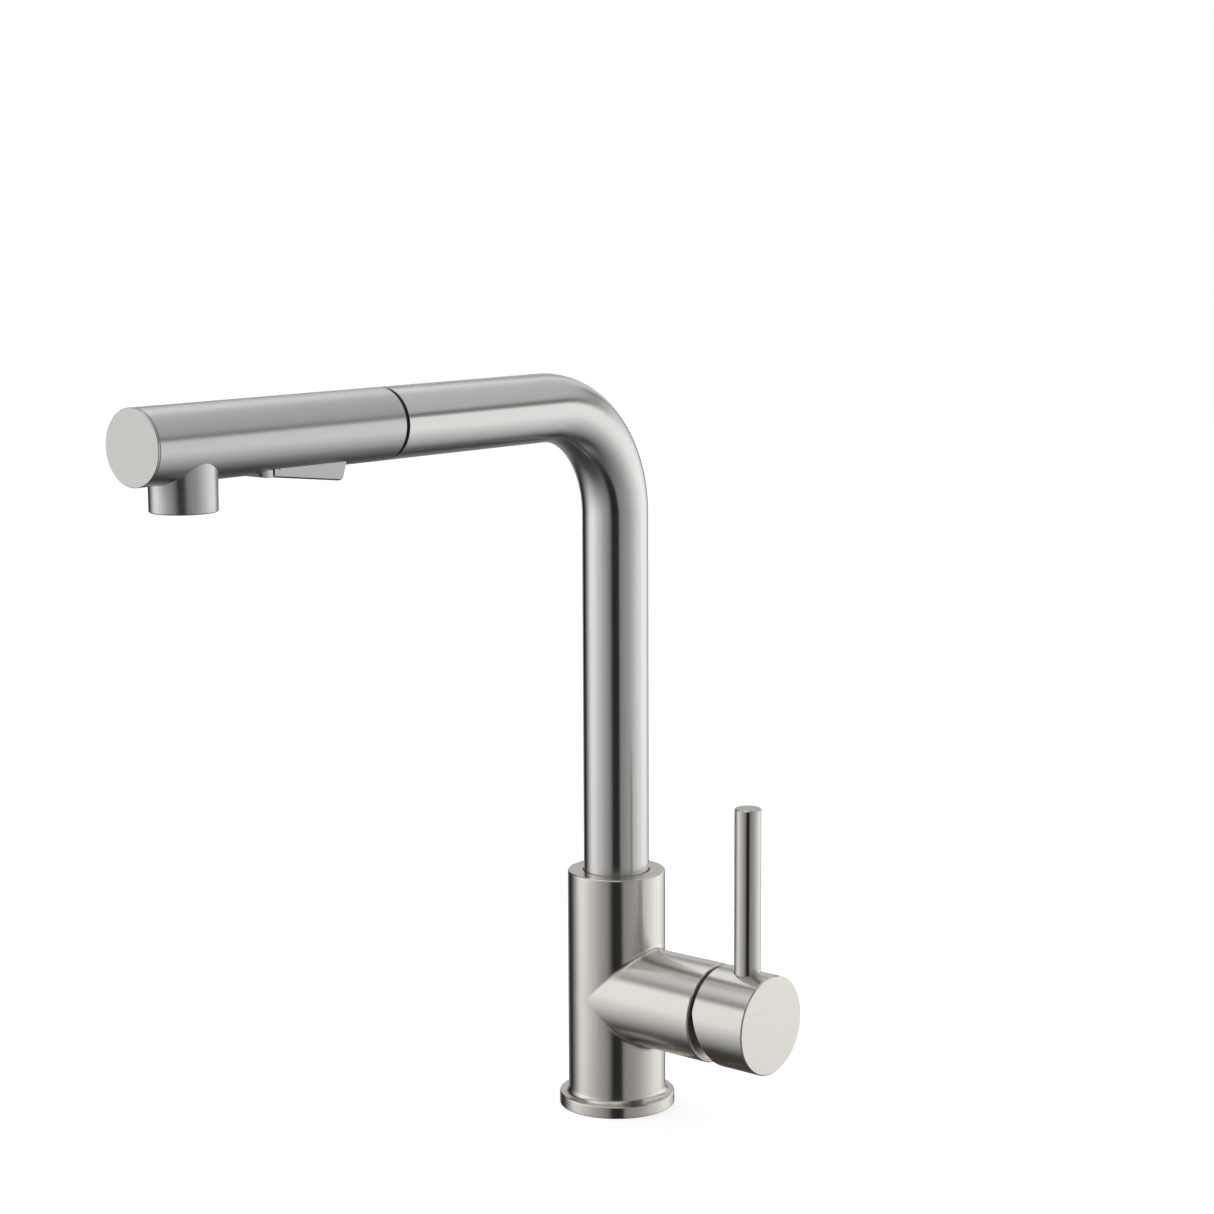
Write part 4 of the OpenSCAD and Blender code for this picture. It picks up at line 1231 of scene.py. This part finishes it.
        # elevations run from 0 straight below to 1 straight above
        degree = 1 / 180
        over = add(tree, "MapRange", {"interpolation_type": "SMOOTHSTEP"},
                   {"Value": past_head.outputs[0], "From Min": 0.0, "From Max": self.head_fade * degree})
        open_sky = add(tree, "MapRange", {"interpolation_type": "SMOOTHSTEP"}, {
            "Value": past_head.outputs[0],
            "From Min": (self.gap_width - self.sky_fade) * degree,
            "From Max": (self.gap_width + self.sky_fade) * degree,
        })
        under = add(tree, "MapRange", None, {
            "Value": past_foot.outputs[0],
            "From Min": -self.foot_fade * degree, "From Max": self.foot_fade * degree,
        })
        shadow = add(tree, "MapRange", None, {
            "Value": parts.outputs["Y"], "From Min": -1.0, "From Max": 1.0,
            "To Min": self.gap[0], "To Max": self.gap[1],
        })
        gap = add(tree, "Mix", {"data_type": "FLOAT"},
                  {"Factor": over.outputs[0], 2: wall.outputs[0], 3: shadow.outputs[0]})
        upper = add(tree, "Mix", {"data_type": "FLOAT"},
                    {"Factor": open_sky.outputs[0], 2: gap.outputs[0], 3: ramp.outputs["Alpha"]})
        lower = add(tree, "Mix", {"data_type": "FLOAT"},
                    {"Factor": under.outputs[0], 2: upper.outputs[0], 3: self.table})
        light = add(tree, "Emission", None, {"Color": grey(1.0), "Strength": lower.outputs[0]})
        add(tree, "OutputMaterial", None, {"Surface": light.outputs[0]})
        return mat

    def backdrop(self) -> None:
        """Makes the white background, and the plain soft light that comes from all round."""
        world = bpy.data.worlds.new("studio")
        tree = blank(world)
        level = add(tree, "MapRange", None,
                    {"Value": self.white_rays(tree), "To Min": self.fill, "To Max": 1.0})
        light = add(tree, "Background", None, {"Color": grey(1.0), "Strength": level.outputs[0]})
        add(tree, "OutputWorld", None, {"Surface": light.outputs[0]})
        bpy.context.scene.world = world

    def camera(self) -> None:
        """Stands the camera in front, above the counter and to the right of the spout."""
        yaw, pitch, roll = (math.radians(a) for a in (self.yaw, self.pitch, self.roll))
        ahead = Vector((-math.sin(yaw) * math.cos(pitch), math.cos(yaw) * math.cos(pitch), math.sin(pitch)))
        right = Vector((math.cos(yaw), math.sin(yaw), 0.0))
        up = right.cross(ahead)
        side = right * math.cos(roll) + up * math.sin(roll)
        top = up * math.cos(roll) - right * math.sin(roll)
        data = bpy.data.cameras.new("camera")
        data.lens = self.lens
        data.sensor_width = self.sensor
        data.clip_start, data.clip_end = self.sight
        eye = bpy.data.objects.new("camera", data)
        turn = Matrix((side, top, -ahead)).transposed()
        eye.matrix_world = Matrix.Translation(self.eye) @ turn.to_4x4()
        bpy.context.scene.collection.objects.link(eye)
        bpy.context.scene.camera = eye


def set_view() -> None:
    """Keeps colours as they are written."""
    bpy.context.scene.view_settings.view_transform = "Standard"


def main() -> None:
    """Builds and dresses the faucet piece by piece, then sets up the studio round it."""
    logging.basicConfig(level=logging.INFO, format="%(message)s")
    set_view()
    for part in (Body(), Mounting(), Spout(), Hose(), SprayHead(), Valve(), Handle(), Studio()):
        log.info("-- %s", type(part).__name__)
        part.build()


if __name__ == "__main__":
    main()
